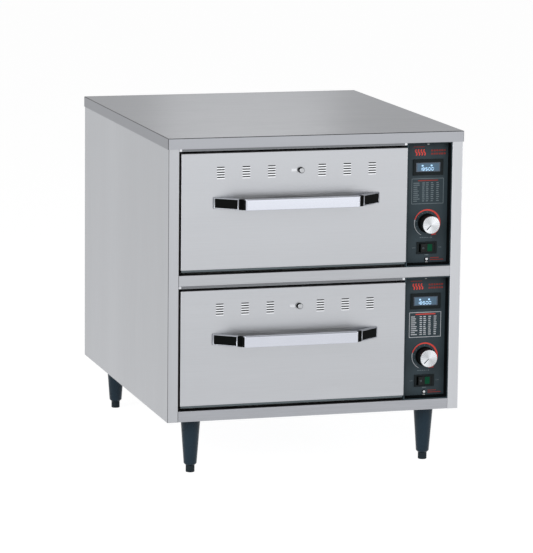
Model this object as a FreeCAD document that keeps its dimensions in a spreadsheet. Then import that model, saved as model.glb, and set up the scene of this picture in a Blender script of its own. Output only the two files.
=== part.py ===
import FreeCAD, Part
from collections import namedtuple
from math import pi
import os
import re
import Sketcher

# Two-drawer countertop warming cabinet.
# +X is to the right seen from the front, +Y runs into the depth, +Z is up.
# The origin is on the floor, under the middle of the whole outline.

SIZES = (
    # Cabinet shell.
    ("CabinetWidth", 558, "over the two side panels"),
    ("CabinetDepth", 656, "front of the stiles to the back of the rear panel"),
    ("OpeningHeight", 230, "clear height of each drawer opening"),
    ("RailHeight", 20, "middle and bottom rails"),
    ("CapLip", 20, "drop of the lid's lip"),
    ("CapClearance", 0.3, "lid lip to panels"),
    ("CapRadius", 1.6, "bend radius of the lid's outer edges"),
    ("BendRadius", 1.2, "outer bend radius of stiles and rails"),
    ("SheetGauge", 1.2, "outer sheet metal"),
    ("StileWidth", 20, "front flange of a side panel"),
    ("StileReturn", 24, "flange behind the stile"),
    ("HemFlange", 15, "top, bottom and rear flanges of a side panel"),
    ("SheetFit", 0.3, "clearance between nested sheets"),
    ("RailSetback", 0.8, "rails behind the stiles"),
    ("RailFlange", 20, "depth of the rail channels"),
    ("HeaderDrop", 4.5, "stop strip hanging below a rail or the lid"),
    ("HeaderSetback", 2.5, "stop strip behind the stiles"),
    # Feet and legs.
    ("FootHeight", 12.5, "floor to the leg's lower end"),
    ("FootRadius", 8.2, "levelling foot"),
    ("FootSeat", 0.2, "foot shoulder to leg"),
    ("StemRadius", 4.2, "threaded stem of the foot"),
    ("StemLength", 36, "stem above the shoulder"),
    ("StemFit", 0.1, "stem to leg bore"),
    ("LegLength", 89.5, "leg's lower end to the underside of the cabinet"),
    ("LegTopRadius", 18.5, "leg at the top"),
    ("LegFootRadius", 12, "leg above its chamfer"),
    ("LegChamfer", 4, "chamfer at the leg's lower end"),
    ("LegInsetX", 54, "leg axis from the cabinet's side"),
    ("LegInsetY", 40, "leg axis from the front and the back"),
    ("StudRadius", 6, "leg's mounting stud"),
    ("LegPlateWidth", 58, "stiffening plate over each leg"),
    ("LegPlateGauge", 3, "its thickness"),
    # Drawer bays.
    ("LinerGauge", 1, "bay walls and drawer front liner"),
    ("WallInset", 4, "bay wall inside the stile's edge"),
    ("BayGap", 2, "closed drawer front to the bay walls"),
    ("RearInset", 22, "insulation behind the bays"),
    ("FloorHeight", 14, "insulated floor of each bay"),
    # Drawer front.
    ("ControlWidth", 87, "drawer fronts to the right stile's edge"),
    ("FrontSideGap", 3.5, "drawer front to the left stile"),
    ("FrontFootGap", 9.5, "drawer front to the rail below"),
    ("FrontHeadGap", 8.5, "drawer front to the rail above"),
    ("FrontProud", 1, "drawer front before the stiles"),
    ("FrontDepth", 24, "drawer front, face to back"),
    ("FrontRadius", 1, "bend radius at the front's edges"),
    ("LinerDrop", 4, "liner lip below the drawer front"),
    ("LinerSetback", 3, "liner lip behind the drawer front's face"),
    ("LinerHem", 12, "liner's top flange"),
    ("CoreGauge", 11, "insulation inside the drawer front"),
    # Vents and their shutter.
    ("TrimOffset", 2.5, "vents and handle right of the front's middle"),
    ("VentDrop", 35, "vent row below the front's top edge"),
    ("VentPitch", 47.7, "vent group to vent group"),
    ("SlotWidth", 14, "vent slot"),
    ("SlotHeight", 1.9, "vent slot"),
    ("SlotPitch", 4.6, "vent slot to vent slot"),
    ("LinerWindow", 20, "liner opening behind a vent group"),
    ("ShutterTravel", 15, "shutter slide"),
    ("ShutterHeight", 32, "shutter plate"),
    ("ShutterMargin", 12, "shutter plate past the last slots"),
    ("ShutterGauge", 1, "shutter plate"),
    ("RunningGap", 0.3, "clearance of sliding pieces"),
    ("TabRadius", 4.5, "shutter knob"),
    ("TabReach", 7, "shutter knob before the drawer front"),
    ("TabStemRadius", 2.5, "shutter knob's stem"),
    ("TabRound", 1, "rounding of the shutter knob"),
    # Handle.
    ("HandleDrop", 90, "handle axis below the front's top edge"),
    ("HandleSpan", 314, "over both end brackets"),
    ("HandleStandoff", 43, "drawer front to the grip's face"),
    ("HandleHeight", 20, "grip and brackets"),
    ("BracketRun", 39, "sloping face along the drawer front"),
    ("BracketRise", 28, "sloping face away from the drawer front"),
    ("BracketFoot", 3, "straight foot of the bracket"),
    ("BracketDepth", 9, "bracket section across its slope"),
    ("BracketRound", 0.8, "bracket's long edges"),
    ("GripDepth", 11, "grip"),
    ("GripRadius", 4, "grip's end corners"),
    ("GripRound", 1.2, "grip's long edges"),
    ("CollarLength", 9.5, "collar between bracket and grip"),
    ("CollarHeight", 18, "collar between bracket and grip"),
    ("CollarStep", 1.3, "collar inside the grip's faces"),
    ("InsetLength", 43.5, "plate in the bracket's sloping face"),
    ("InsetHeight", 17, "plate in the bracket"),
    ("InsetGauge", 1, "plate in the bracket"),
    ("HandleStudRadius", 3, "studs through the drawer front"),
    ("HandleStudLength", 8, "studs behind the drawer front's skin"),
    ("StudFit", 0.3, "studs in their holes"),
    # Slides.
    ("SlideWidth", 12.7, "each slide across"),
    ("SlideHeight", 45, "each slide upright"),
    ("SlideSetback", 4, "slides behind the bay's front edge"),
    ("SlideTail", 22.8, "slides to the bay's rear wall"),
    ("SlideRise", 156, "slide axis above the bay floor"),
    ("SlideGauge", 1.4, "slide members"),
    ("SlideGap", 0.4, "race between two members"),
    ("SlideLip", 10.5, "outer member's flanges"),
    # Pan and the frame that carries it.
    ("PanRise", 185, "pan rim above the bay floor"),
    ("PanWidth", 325, "pan over its rim"),
    ("PanDepth", 150, "pan below its rim"),
    ("PanRim", 12, "pan's rim flange"),
    ("PanCorner", 25, "pan's upright corners"),
    ("PanHeel", 10, "pan's lower edges"),
    ("PanGauge", 1, "pan sheet"),
    ("PanSetback", 18, "pan rim behind the drawer front"),
    ("PanTail", 38, "pan rim to the slides' rear ends"),
    ("PanFit", 1, "pan body in the frame's opening"),
    ("FrameGauge", 1.5, "drawer frame sheet"),
    ("FrameDrop", 52, "drawer frame sides"),
    # Heating element.
    ("ElementRadius", 4, "sheathed element"),
    ("ElementRise", 12, "element axis above the bay floor"),
    ("ElementPitch", 110, "run to run"),
    ("ElementMargin", 45, "bends inside the bay walls"),
    ("ElementFront", 80, "first run behind the bay's front edge"),
    ("TerminalReach", 26, "element ends beyond the partition"),
    ("ElementFit", 0.5, "element in its holes"),
    ("SupportInset", 2.9, "element supports inside the bends"),
    ("SupportGauge", 2, "element support strips"),
    ("SupportMargin", 10, "strip beyond the outer runs"),
    ("SupportCrown", 3, "strip above the element"),
    # Control panel.
    ("PanelSetback", 18, "panel face behind the stiles"),
    ("PanelReveal", 0.8, "panel flanges behind the stiles"),
    ("PanelGauge", 1.5, "panel sheet"),
    ("PanelSideGap", 0.8, "panel to the drawer front"),
    ("ControlColumn", 41, "controls' axis from the right stile's edge"),
    ("DisplayRise", 67, "display above the opening's middle"),
    ("DisplayWidth", 58.5, "display bezel"),
    ("DisplayHeight", 29.5, "display bezel"),
    ("DisplayProud", 2, "bezel before the panel"),
    ("DisplayDepth", 18, "display module behind the panel"),
    ("DisplayStep", 2.2, "bezel's overlap on the panel"),
    ("LensWidth", 47, "display window"),
    ("LensHeight", 17.2, "display window"),
    ("LensGauge", 1.4, "display window"),
    ("LensSink", 0.6, "window below the bezel's face"),
    ("ModuleFit", 0.2, "modules in the panel's cut-outs"),
    ("BezelRound", 0.5, "rounding of the bezels' edges"),
    ("DialDrop", 37, "dial below the opening's middle"),
    ("KnobRadius", 15.7, "knob body"),
    ("KnobDraft", 0.6, "knob body narrower at its face"),
    ("KnobReach", 26, "panel to the knob's face"),
    ("KnobGap", 1.2, "knob to panel"),
    ("KnobCapRadius", 16.2, "bright cap on the knob"),
    ("KnobCapGauge", 2.4, "bright cap on the knob"),
    ("KnobCapRound", 0.8, "rounding of the cap's rim"),
    ("PointerWidth", 1.9, "groove in the cap"),
    ("PointerLength", 12, "groove in the cap"),
    ("PointerSink", 0.5, "groove in the cap"),
    ("PointerStart", 0.8, "groove from the cap's middle"),
    ("SpindleRadius", 3, "thermostat spindle"),
    ("SpindleDepth", 15, "spindle inside the thermostat"),
    ("SpindleGrip", 12, "spindle inside the knob"),
    ("SpindleFit", 0.06, "spindle in bush and knob"),
    ("BushRadius", 5, "thermostat bush"),
    ("ThermostatWidth", 44, "thermostat housing"),
    ("ThermostatHeight", 40, "thermostat housing"),
    ("ThermostatDepth", 34, "thermostat housing"),
    ("ThermostatGap", 3, "panel to thermostat housing"),
    ("CapillaryRadius", 1.25, "sensor tube"),
    ("BulbRadius", 4, "sensor bulb"),
    ("BulbLength", 90, "sensor bulb"),
    ("BulbInset", 9, "sensor bulb from the partition"),
    ("SwitchRise", 32, "switch above the opening's foot"),
    ("SwitchWidth", 39, "switch bezel"),
    ("SwitchHeight", 22.5, "switch bezel"),
    ("SwitchProud", 1.6, "switch bezel before the panel"),
    ("SwitchStep", 2, "bezel's overlap on the panel"),
    ("SwitchDepth", 26, "switch body behind the panel"),
    ("WellWidth", 30, "well for the rocker"),
    ("WellHeight", 16.2, "well for the rocker"),
    ("WellDepth", 14, "well for the rocker"),
    ("RockerHalf", 13.5, "rocker to each end"),
    ("RockerRise", 5, "rocker's middle before its pivot"),
    ("RockerFlare", 1.9, "rocker's ends before its middle"),
    ("RockerKeel", 6, "rocker behind its pivot"),
    ("RockerKeelHalf", 4, "rocker's keel"),
    ("RockerTilt", 8, "degrees either way"),
    ("PivotDepth", 3, "rocker pivot behind the panel face"),
    ("ButtonRise", 10.5, "button above the opening's foot"),
    ("ButtonRadius", 2.75, "button"),
    ("ButtonProud", 2.2, "button before the panel"),
    ("ButtonDepth", 8, "button behind the panel face"),
    ("ButtonRound", 0.7, "rounding of the button's rim"),
    # Fasteners.
    ("PanelScrewInset", 4.6, "panel screws from the opening's foot and head"),
    ("ScrewHeadRadius", 2.3, "pan-head screws"),
    ("ScrewHeadHeight", 1.6, "pan-head screws"),
    ("ScrewRadius", 1.4, "screw shanks"),
    ("ScrewLength", 9, "screw shanks"),
    ("ScrewFit", 0.15, "shanks in their holes"),
    ("RearScrewInset", 40, "outer rear screws from the panel's ends"),
    # Rear panel and its fittings.
    ("GlandReach", 10, "cord gland behind the rear panel"),
    ("GlandBore", 5.5, "cord gland"),
    ("GlandRadius", 14, "gland flange"),
    ("GlandNeck", 9.8, "gland thread"),
    ("GlandDepth", 12, "gland inside the rear panel"),
    ("GlandFlange", 4, "gland flange"),
    ("GlandFit", 0.2, "gland in its hole and nut"),
    ("GlandNutRadius", 15, "gland nut"),
    ("GlandNutGauge", 4, "gland nut"),
    ("GlandRise", 60, "gland above the cabinet's underside"),
    ("LouvreWidth", 58, "rear cooling slot"),
    ("LouvreHeight", 4, "rear cooling slot"),
    ("LouvrePitch", 14, "rear cooling slots"),
    ("LouvreRise", 330, "first cooling slot above the underside"),
    ("BlockWidth", 24, "terminal block from the partition"),
    ("BlockLength", 62, "terminal block"),
    ("BlockHeight", 22, "terminal block"),
    ("BlockInset", 60, "terminal block from the rear panel"),
    ("BlockRise", 50, "terminal block above the underside"),
    ("BlockPocket", 9, "wire entries of the block"),
)

PLACES = (
    # Heights.
    ("BaseZ", "FootHeight + LegLength"),
    ("LowerFloor", "BaseZ + RailHeight"),
    ("UpperFloor", "LowerFloor + OpeningHeight + RailHeight"),
    ("LipBottom", "UpperFloor + OpeningHeight"),
    ("Top", "LipBottom + CapLip"),
    ("PanelTop", "Top - SheetGauge"),
    ("PanZ", "BaseZ + SheetGauge"),
    ("PlateZ", "PanZ + SheetGauge"),
    ("CeilingZ", "LipBottom - HeaderDrop"),
    ("FrontHeight", "OpeningHeight - FrontFootGap - FrontHeadGap"),
    ("SwitchDrop", "OpeningHeight / 2 - SwitchRise"),
    ("ButtonDrop", "OpeningHeight / 2 - ButtonRise"),
    ("PanelScrewSpread", "OpeningHeight / 2 - PanelScrewInset"),
    # Widths.
    ("ShellHalf", "CabinetWidth / 2"),
    ("CapHalf", "ShellHalf + CapClearance + SheetGauge"),
    ("OpeningHalf", "ShellHalf - StileWidth"),
    ("RailHalf", "OpeningHalf - SheetFit"),
    ("FrontLeft", "FrontSideGap - OpeningHalf"),
    ("FrontRight", "OpeningHalf - ControlWidth"),
    ("FrontWidth", "FrontRight - FrontLeft"),
    ("TrimX", "(FrontLeft + FrontRight) / 2 + TrimOffset"),
    ("BayLeft", "WallInset - OpeningHalf"),
    ("BayRight", "FrontRight - SheetGauge"),
    ("BayMiddle", "(BayLeft + BayRight) / 2"),
    ("SupportSpread", "BayMiddle - BayLeft - ElementMargin - ElementPitch / 2 - SupportInset"),
    ("PanelLeft", "FrontRight + PanelSideGap"),
    ("PanelRight", "OpeningHalf - SheetFit"),
    ("ControlX", "OpeningHalf - ControlColumn"),
    ("FrameLeft", "BayLeft + SlideWidth"),
    ("FrameRight", "BayRight - SlideWidth"),
    # Depths.
    ("HandleReach", "FrontProud + HandleStandoff"),
    ("FrontY", "(HandleReach - CabinetDepth - GlandReach) / 2"),
    ("RearY", "FrontY + CabinetDepth"),
    ("RearSheet", "RearY - SheetGauge"),
    ("FrontFace", "FrontY - FrontProud"),
    ("FrontBack", "FrontFace + FrontDepth"),
    ("BayFront", "FrontBack + BayGap"),
    ("BayRear", "RearSheet - RearInset - LinerGauge"),
    ("SlideFront", "BayFront + SlideSetback"),
    ("SlideRear", "BayRear - SlideTail"),
    ("SlideLength", "SlideRear - SlideFront"),
    ("PanFront", "FrontBack + PanSetback"),
    ("PanLength", "SlideRear - PanTail - PanFront"),
    ("PanelFace", "FrontY + PanelSetback"),
    ("PanelBack", "PanelFace + PanelGauge"),
    ("ThermostatFront", "PanelBack + ThermostatGap"),
    ("SensorY", "ThermostatFront + ThermostatDepth / 2"),
    # Handle, in plan: outward from its middle and away from the drawer front.
    ("BracketSlope", "sqrt(BracketRun ^ 2 + BracketRise ^ 2)"),
    ("SlopeRun", "BracketRun / BracketSlope"),
    ("SlopeRise", "BracketRise / BracketSlope"),
    ("BracketTip", "HandleSpan / 2 - BracketRun"),
    ("BracketCrest", "BracketFoot + BracketRise"),
    ("GripSpan", "2 * (BracketTip - CollarLength)"),
    ("InsetMargin", "(BracketSlope - InsetLength) / 2"),
)

DRAWERS = (("lower", "LowerFloor"), ("upper", "UpperFloor"))
LEFT = "-"
RIGHT = ""
VENT_COLUMNS = (-3, -2, -1, 1, 2, 3)
SLOTS_PER_VENT = 5
ELEMENT_PASSES = 4
LOUVRES = 8
BLOCK_WAYS = 3
POINTER_AT_REST = -135

Circle = namedtuple("Circle", "u v radius")
Rounded = namedtuple("Rounded", "across along radius")

doc = FreeCAD.newDocument("WarmingCabinet")


def fill_sheet(name, rows):
    """Write one alias, value and note to each row of a spreadsheet."""
    sheet = doc.addObject("Spreadsheet::Sheet", name)
    for row, (alias, content, note) in enumerate(rows, start=1):
        sheet.set(f"A{row}", alias)
        sheet.set(f"B{row}", content)
        sheet.set(f"C{row}", note)
        sheet.setAlias(f"B{row}", alias)
    return sheet


KNOWN = {alias: f"Sizes.{alias}" for alias, _, _ in SIZES}
KNOWN.update({alias: f"Places.{alias}" for alias, _ in PLACES})


def qualify(text):
    """Turn plain size names into references to their spreadsheet cells."""
    return re.sub(r"\b[A-Z]\w+", lambda found: KNOWN[found.group()], text)


sizes = fill_sheet("Sizes", [(alias, str(value), note) for alias, value, note in SIZES])
places = fill_sheet("Places", [(alias, f"={qualify(text)}", "") for alias, text in PLACES])
doc.recompute()

nodes = []


def value_of(text):
    """Present value of an expression, in millimetres."""
    return float(places.evalExpression(qualify(text)))


def bind(thing, name, text):
    """Tie a property to an expression of the sheets."""
    thing.setExpression(name, qualify(text))


def register(thing, label):
    """Name an object as a finished sub-part."""
    thing.Label = label
    nodes.append(thing)
    return thing


def new_body():
    """Start an empty body."""
    return doc.addObject("PartDesign::Body", "Body")


def rectangle(across, along):
    """Four corners from two pairs of limits."""
    (left, right), (low, high) = across, along
    return [(left, low), (right, low), (right, high), (left, high)]


def centred(middle, width):
    """Pair of limits either side of a middle."""
    return (f"{middle} - ({width}) / 2", f"{middle} + ({width}) / 2")


def draw_polygon(sketch, corners):
    """Add a closed outline whose corners follow their expressions."""
    first = sketch.GeometryCount
    count = len(corners)
    values = [(value_of(u), value_of(v)) for u, v in corners]
    points = [FreeCAD.Vector(u, v, 0) for u, v in values]
    lines = [Part.LineSegment(points[i], points[(i + 1) % count]) for i in range(count)]
    sketch.addGeometry(lines, False)
    sketch.addConstraint([
        Sketcher.Constraint("Coincident", first + i, 2, first + (i + 1) % count, 1)
        for i in range(count)
    ])
    base = sketch.ConstraintCount
    constraints = []
    for i, (u, v) in enumerate(values):
        constraints.append(Sketcher.Constraint("DistanceX", -1, 1, first + i, 1, u))
        constraints.append(Sketcher.Constraint("DistanceY", -1, 1, first + i, 1, v))
    sketch.addConstraint(constraints)
    for i, (u, v) in enumerate(corners):
        bind(sketch, f"Constraints[{base + 2 * i}]", u)
        bind(sketch, f"Constraints[{base + 2 * i + 1}]", v)


def draw_circle(sketch, u, v, radius):
    """Add a circle whose centre and radius follow their expressions."""
    first = sketch.GeometryCount
    centre = FreeCAD.Vector(value_of(u), value_of(v), 0)
    circle = Part.Circle(centre, FreeCAD.Vector(0, 0, 1), value_of(radius))
    sketch.addGeometry(circle, False)
    base = sketch.ConstraintCount
    sketch.addConstraint([
        Sketcher.Constraint("DistanceX", -1, 1, first, 3, centre.x),
        Sketcher.Constraint("DistanceY", -1, 1, first, 3, centre.y),
        Sketcher.Constraint("Radius", first, circle.Radius),
    ])
    bind(sketch, f"Constraints[{base}]", u)
    bind(sketch, f"Constraints[{base + 1}]", v)
    bind(sketch, f"Constraints[{base + 2}]", radius)


def draw_rounded(sketch, across, along, radius):
    """Add a rectangle with rounded corners whose ends follow their expressions."""
    first = sketch.GeometryCount
    (left, right), (low, high) = across, along
    inner_left, inner_right = f"{left} + ({radius})", f"{right} - ({radius})"
    inner_low, inner_high = f"{low} + ({radius})", f"{high} - ({radius})"
    sides = [
        ((inner_left, low), (inner_right, low)),
        ((right, inner_low), (right, inner_high)),
        ((inner_right, high), (inner_left, high)),
        ((left, inner_high), (left, inner_low)),
    ]
    centres = [(inner_right, inner_low), (inner_right, inner_high),
               (inner_left, inner_high), (inner_left, inner_low)]
    bend = value_of(radius)
    upright = FreeCAD.Vector(0, 0, 1)
    for side in sides:
        start, end = [FreeCAD.Vector(value_of(u), value_of(v), 0) for u, v in side]
        sketch.addGeometry(Part.LineSegment(start, end), False)
    for turns, (u, v) in enumerate(centres, start=-1):
        circle = Part.Circle(FreeCAD.Vector(value_of(u), value_of(v), 0), upright, bend)
        quarter = Part.ArcOfCircle(circle, turns * pi / 2, (turns + 1) * pi / 2)
        sketch.addGeometry(quarter, False)
    for i in range(4):
        arc = first + 4 + i
        sketch.addConstraint([
            Sketcher.Constraint("Coincident", first + i, 2, arc, 1),
            Sketcher.Constraint("Coincident", arc, 2, first + (i + 1) % 4, 1),
        ])
        radius_index = sketch.addConstraint(Sketcher.Constraint("Radius", arc, bend))
        bind(sketch, f"Constraints[{radius_index}]", radius)
    for i, side in enumerate(sides):
        for end, (u, v) in enumerate(side, start=1):
            for kind, text in (("DistanceX", u), ("DistanceY", v)):
                constraint = Sketcher.Constraint(kind, -1, 1, first + i, end, value_of(text))
                bind(sketch, f"Constraints[{sketch.addConstraint(constraint)}]", text)


def new_sketch(body, plane, level, outlines):
    """Sketch parallel to a plane of the body, at a level along +X, +Y or +Z.

    An outline is a Circle, a Rounded rectangle or a list of corners.
    """
    sketch = body.newObject("Sketcher::SketchObject", "Sketch")
    features = body.Origin.OriginFeatures
    sketch.AttachmentSupport = [(next(f for f in features if f.Role == f"{plane}_Plane"), "")]
    sketch.MapMode = "FlatFace"
    towards = "-" if plane == "XZ" else ""
    bind(sketch, "AttachmentOffset.Base.z", f"{towards}({level})")
    for outline in outlines:
        if isinstance(outline, Circle):
            draw_circle(sketch, *outline)
        elif isinstance(outline, Rounded):
            draw_rounded(sketch, *outline)
        else:
            draw_polygon(sketch, outline)
    return sketch


def add(body, plane, level, length, *outlines):
    """Pad outlines from a level towards +X, +Y or +Z."""
    pad = body.newObject("PartDesign::Pad", "Pad")
    pad.Profile = new_sketch(body, plane, level, outlines)
    pad.Reversed = plane == "XZ"
    bind(pad, "Length", length)
    return pad


def cut(body, plane, level, length, *outlines):
    """Pocket outlines from a level towards +X, +Y or +Z."""
    pocket = body.newObject("PartDesign::Pocket", "Pocket")
    pocket.Profile = new_sketch(body, plane, level, outlines)
    pocket.Reversed = plane != "XZ"
    bind(pocket, "Length", length)
    return pocket


def turn(body, plane, corners):
    """Revolve an outline of radii and heights about the plane's upright axis."""
    revolution = body.newObject("PartDesign::Revolution", "Revolution")
    sketch = new_sketch(body, plane, "0", [corners])
    revolution.Profile = sketch
    revolution.ReferenceAxis = (sketch, ["V_Axis"])
    revolution.Angle = 360
    return revolution


def repeat(body, feature, axis, spacing, count):
    """Pattern a feature along its sketch's H_Axis or V_Axis."""
    pattern = body.newObject("PartDesign::LinearPattern", "Pattern")
    pattern.Originals = [feature]
    pattern.Direction = (feature.Profile[0], [axis])
    pattern.Mode = "Spacing"
    bind(pattern, "Offset", spacing)
    pattern.Occurrences = count
    body.Tip = pattern
    return pattern


def mirror(body, features, x):
    """Mirror features of a body across an upright plane at x."""
    datum = body.newObject("PartDesign::Plane", "Datum")
    origin = next(f for f in body.Origin.OriginFeatures if f.Role == "YZ_Plane")
    datum.AttachmentSupport = [(origin, "")]
    datum.MapMode = "FlatFace"
    bind(datum, "AttachmentOffset.Base.z", x)
    mirrored = body.newObject("PartDesign::Mirrored", "Mirrored")
    mirrored.Originals = features
    mirrored.MirrorPlane = (datum, [""])
    body.Tip = mirrored
    return mirrored


def round_edges(body, radius, test):
    """Fillet the edges of a body's tip that pass a test."""
    doc.recompute()
    base = body.Tip
    names = [f"Edge{i}" for i, edge in enumerate(base.Shape.Edges, start=1) if test(edge)]
    fillet = body.newObject("PartDesign::Fillet", "Fillet")
    fillet.Base = (base, names)
    bind(fillet, "Radius", radius)
    body.Tip = fillet
    return fillet


def hollow_from_above(body, level, gauge):
    """Turn a body's solid into a shell of one gauge, open at the top."""
    doc.recompute()
    base = body.Tip
    faces = enumerate(base.Shape.Faces, start=1)
    names = [f"Face{i}" for i, face in faces if near(face.BoundBox.ZMin, level)]
    shell = body.newObject("PartDesign::Thickness", "Thickness")
    shell.Base = (base, names)
    shell.Reversed = True
    bind(shell, "Value", gauge)
    body.Tip = shell
    return shell


def runs_along(edge, axis):
    """Whether an edge is a straight line along X, Y or Z."""
    span = edge.BoundBox
    lengths = {"X": span.XLength, "Y": span.YLength, "Z": span.ZLength}
    across = [lengths[name] for name in lengths if name != axis]
    return lengths[axis] > 1e-3 and max(across) < 1e-6 and isinstance(edge.Curve, Part.Line)


def near(number, text):
    """Whether a coordinate lies on a place of the sheets."""
    return abs(number - value_of(text)) < 1e-4


def place(thing, x, y, z):
    """Bind an object's position."""
    bind(thing, "Placement.Base.x", x)
    bind(thing, "Placement.Base.y", y)
    bind(thing, "Placement.Base.z", z)


def block(x, y, z):
    """Box between three pairs of limits."""
    solid = doc.addObject("Part::Box", "Box")
    bind(solid, "Length", f"{x[1]} - ({x[0]})")
    bind(solid, "Width", f"{y[1]} - ({y[0]})")
    bind(solid, "Height", f"{z[1]} - ({z[0]})")
    place(solid, x[0], y[0], z[0])
    return solid


def group(label, members):
    """Several separate solids kept as one sub-part."""
    compound = doc.addObject("Part::Compound", "Group")
    compound.Links = members
    return register(compound, label)


def drawer_foot(floor):
    return f"({floor} + FrontFootGap)"


def drawer_head(floor):
    return f"({floor} + FrontFootGap + FrontHeight)"


def opening_middle(floor):
    return f"({floor} + OpeningHeight / 2)"


# Cabinet shell.


def make_top_cover():
    """Folded lid whose lip hangs over the panels on all four sides."""
    body = register(new_body(), "top_cover")
    front = "FrontY - CapClearance - SheetGauge"
    rear = "RearY + CapClearance + SheetGauge"
    outer = rectangle(("-CapHalf", "CapHalf"), (front, rear))
    inner = rectangle(
        ("SheetGauge - CapHalf", "CapHalf - SheetGauge"),
        ("FrontY - CapClearance", "RearY + CapClearance"),
    )
    add(body, "XY", "PanelTop", "SheetGauge", outer)
    add(body, "XY", "LipBottom", "CapLip - SheetGauge", outer, inner)

    def outside(edge):
        box = edge.BoundBox
        corner = runs_along(edge, "Z") and near(abs(box.XMax), "CapHalf")
        rim = near(box.ZMin, "Top") and near(box.ZMax, "Top")
        return corner or rim

    round_edges(body, "CapRadius", outside)


def rear_screw_places(side):
    """Centres of the rear panel's screws on one side."""
    column = f"{side}(ShellHalf - HemFlange / 2)"
    rows = ("BaseZ + RearScrewInset", "(BaseZ + LipBottom) / 2", "LipBottom - RearScrewInset")
    return [(column, row) for row in rows]


def make_side_panel(label, side):
    """Side panel folded round the front into a stile and round the back into a flange."""
    body = register(new_body(), label)
    wall = f"{side}(ShellHalf - SheetGauge)"
    hem = f"{side}(ShellHalf - HemFlange)"
    inner_stile = f"{side}(OpeningHalf + SheetGauge)"
    add(body, "XY", "BaseZ", "PanelTop - BaseZ", [
        (f"{side}ShellHalf", "FrontY"),
        (f"{side}ShellHalf", "RearSheet"),
        (hem, "RearSheet"),
        (hem, "RearSheet - SheetGauge"),
        (wall, "RearSheet - SheetGauge"),
        (wall, "FrontY + SheetGauge"),
        (inner_stile, "FrontY + SheetGauge"),
        (inner_stile, "FrontY + StileReturn"),
        (f"{side}OpeningHalf", "FrontY + StileReturn"),
        (f"{side}OpeningHalf", "FrontY"),
    ])
    ledge = rectangle((wall, hem), ("FrontY + SheetGauge", "RearSheet - SheetGauge"))
    add(body, "XY", "BaseZ", "SheetGauge", ledge)
    add(body, "XY", "PanelTop - SheetGauge", "SheetGauge", ledge)
    holes = [Circle(x, z, "ScrewRadius + ScrewFit") for x, z in rear_screw_places(side)]
    cut(body, "XZ", "RearSheet - SheetGauge", "SheetGauge", *holes)
    round_edges(body, "BendRadius",
                lambda edge: runs_along(edge, "Z") and near(edge.BoundBox.YMin, "FrontY"))


def make_rear_panel():
    """Flat rear sheet with cooling slots, a gland hole and screw holes."""
    body = register(new_body(), "rear_panel")
    outline = rectangle(("-ShellHalf", "ShellHalf"), ("BaseZ", "PanelTop - SheetFit"))
    add(body, "XZ", "RearSheet", "SheetGauge", outline)
    holes = [Circle(x, z, "ScrewRadius + ScrewFit")
             for side in (LEFT, RIGHT) for x, z in rear_screw_places(side)]
    gland = Circle("ControlX", "BaseZ + GlandRise", "GlandNeck + GlandFit")
    cut(body, "XZ", "RearSheet", "SheetGauge", gland, *holes)
    low = "BaseZ + LouvreRise"
    slot = rectangle(centred("ControlX", "LouvreWidth"), (low, f"{low} + LouvreHeight"))
    louvre = cut(body, "XZ", "RearSheet", "SheetGauge", slot)
    repeat(body, louvre, "V_Axis", "LouvrePitch", LOUVRES)


def leg_places():
    """Centres of the four legs in plan."""
    xs = (f"{LEFT}(ShellHalf - LegInsetX)", "(ShellHalf - LegInsetX)")
    ys = ("(FrontY + LegInsetY)", "(RearY - LegInsetY)")
    return {
        "front_left": (xs[0], ys[0]),
        "front_right": (xs[1], ys[0]),
        "rear_left": (xs[0], ys[1]),
        "rear_right": (xs[1], ys[1]),
    }


def make_base_pan():
    """Bottom sheet lying on the side panels' lower flanges."""
    body = register(new_body(), "base_pan")
    outline = rectangle(
        ("SheetGauge + SheetFit - ShellHalf", "ShellHalf - SheetGauge - SheetFit"),
        ("FrontY + StileReturn + SheetFit", "RearSheet - SheetGauge - SheetFit"),
    )
    add(body, "XY", "PanZ", "SheetGauge", outline)
    holes = [Circle(x, y, "StudRadius + StemFit") for x, y in leg_places().values()]
    cut(body, "XY", "PanZ", "SheetGauge", *holes)


def rail_channel(floor):
    """Section of a channel open to the back, its top level with a bay floor."""
    face = "FrontY + RailSetback"
    back = "FrontY + RailSetback + RailFlange"
    return [
        (back, floor),
        (face, floor),
        (face, f"{floor} - RailHeight"),
        (back, f"{floor} - RailHeight"),
        (back, f"{floor} - RailHeight + SheetGauge"),
        (f"{face} + SheetGauge", f"{floor} - RailHeight + SheetGauge"),
        (f"{face} + SheetGauge", f"{floor} - SheetGauge"),
        (back, f"{floor} - SheetGauge"),
    ]


def add_stop_strip(body, head):
    """Strip over a drawer opening, from the left stile to the control panel."""
    face = "FrontY + HeaderSetback"
    back = "FrontY + RailSetback + RailFlange"
    low = f"{head} - HeaderDrop"
    add(body, "YZ", "-RailHalf", "RailHalf + FrontRight", [
        (face, head),
        (face, low),
        (back, low),
        (back, f"{low} + SheetGauge"),
        (f"{face} + SheetGauge", f"{low} + SheetGauge"),
        (f"{face} + SheetGauge", head),
    ])


def add_rail(body, floor):
    """Channel between the stiles with its front bends rounded."""
    add(body, "YZ", "-RailHalf", "2 * RailHalf", rail_channel(floor))
    round_edges(body, "BendRadius",
                lambda edge: runs_along(edge, "X") and near(edge.BoundBox.YMin, "FrontY + RailSetback"))


def make_bottom_rail():
    add_rail(register(new_body(), "bottom_rail"), "LowerFloor")


def make_middle_rail():
    body = register(new_body(), "middle_rail")
    add_rail(body, "UpperFloor")
    add_stop_strip(body, "UpperFloor - RailHeight")


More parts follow.
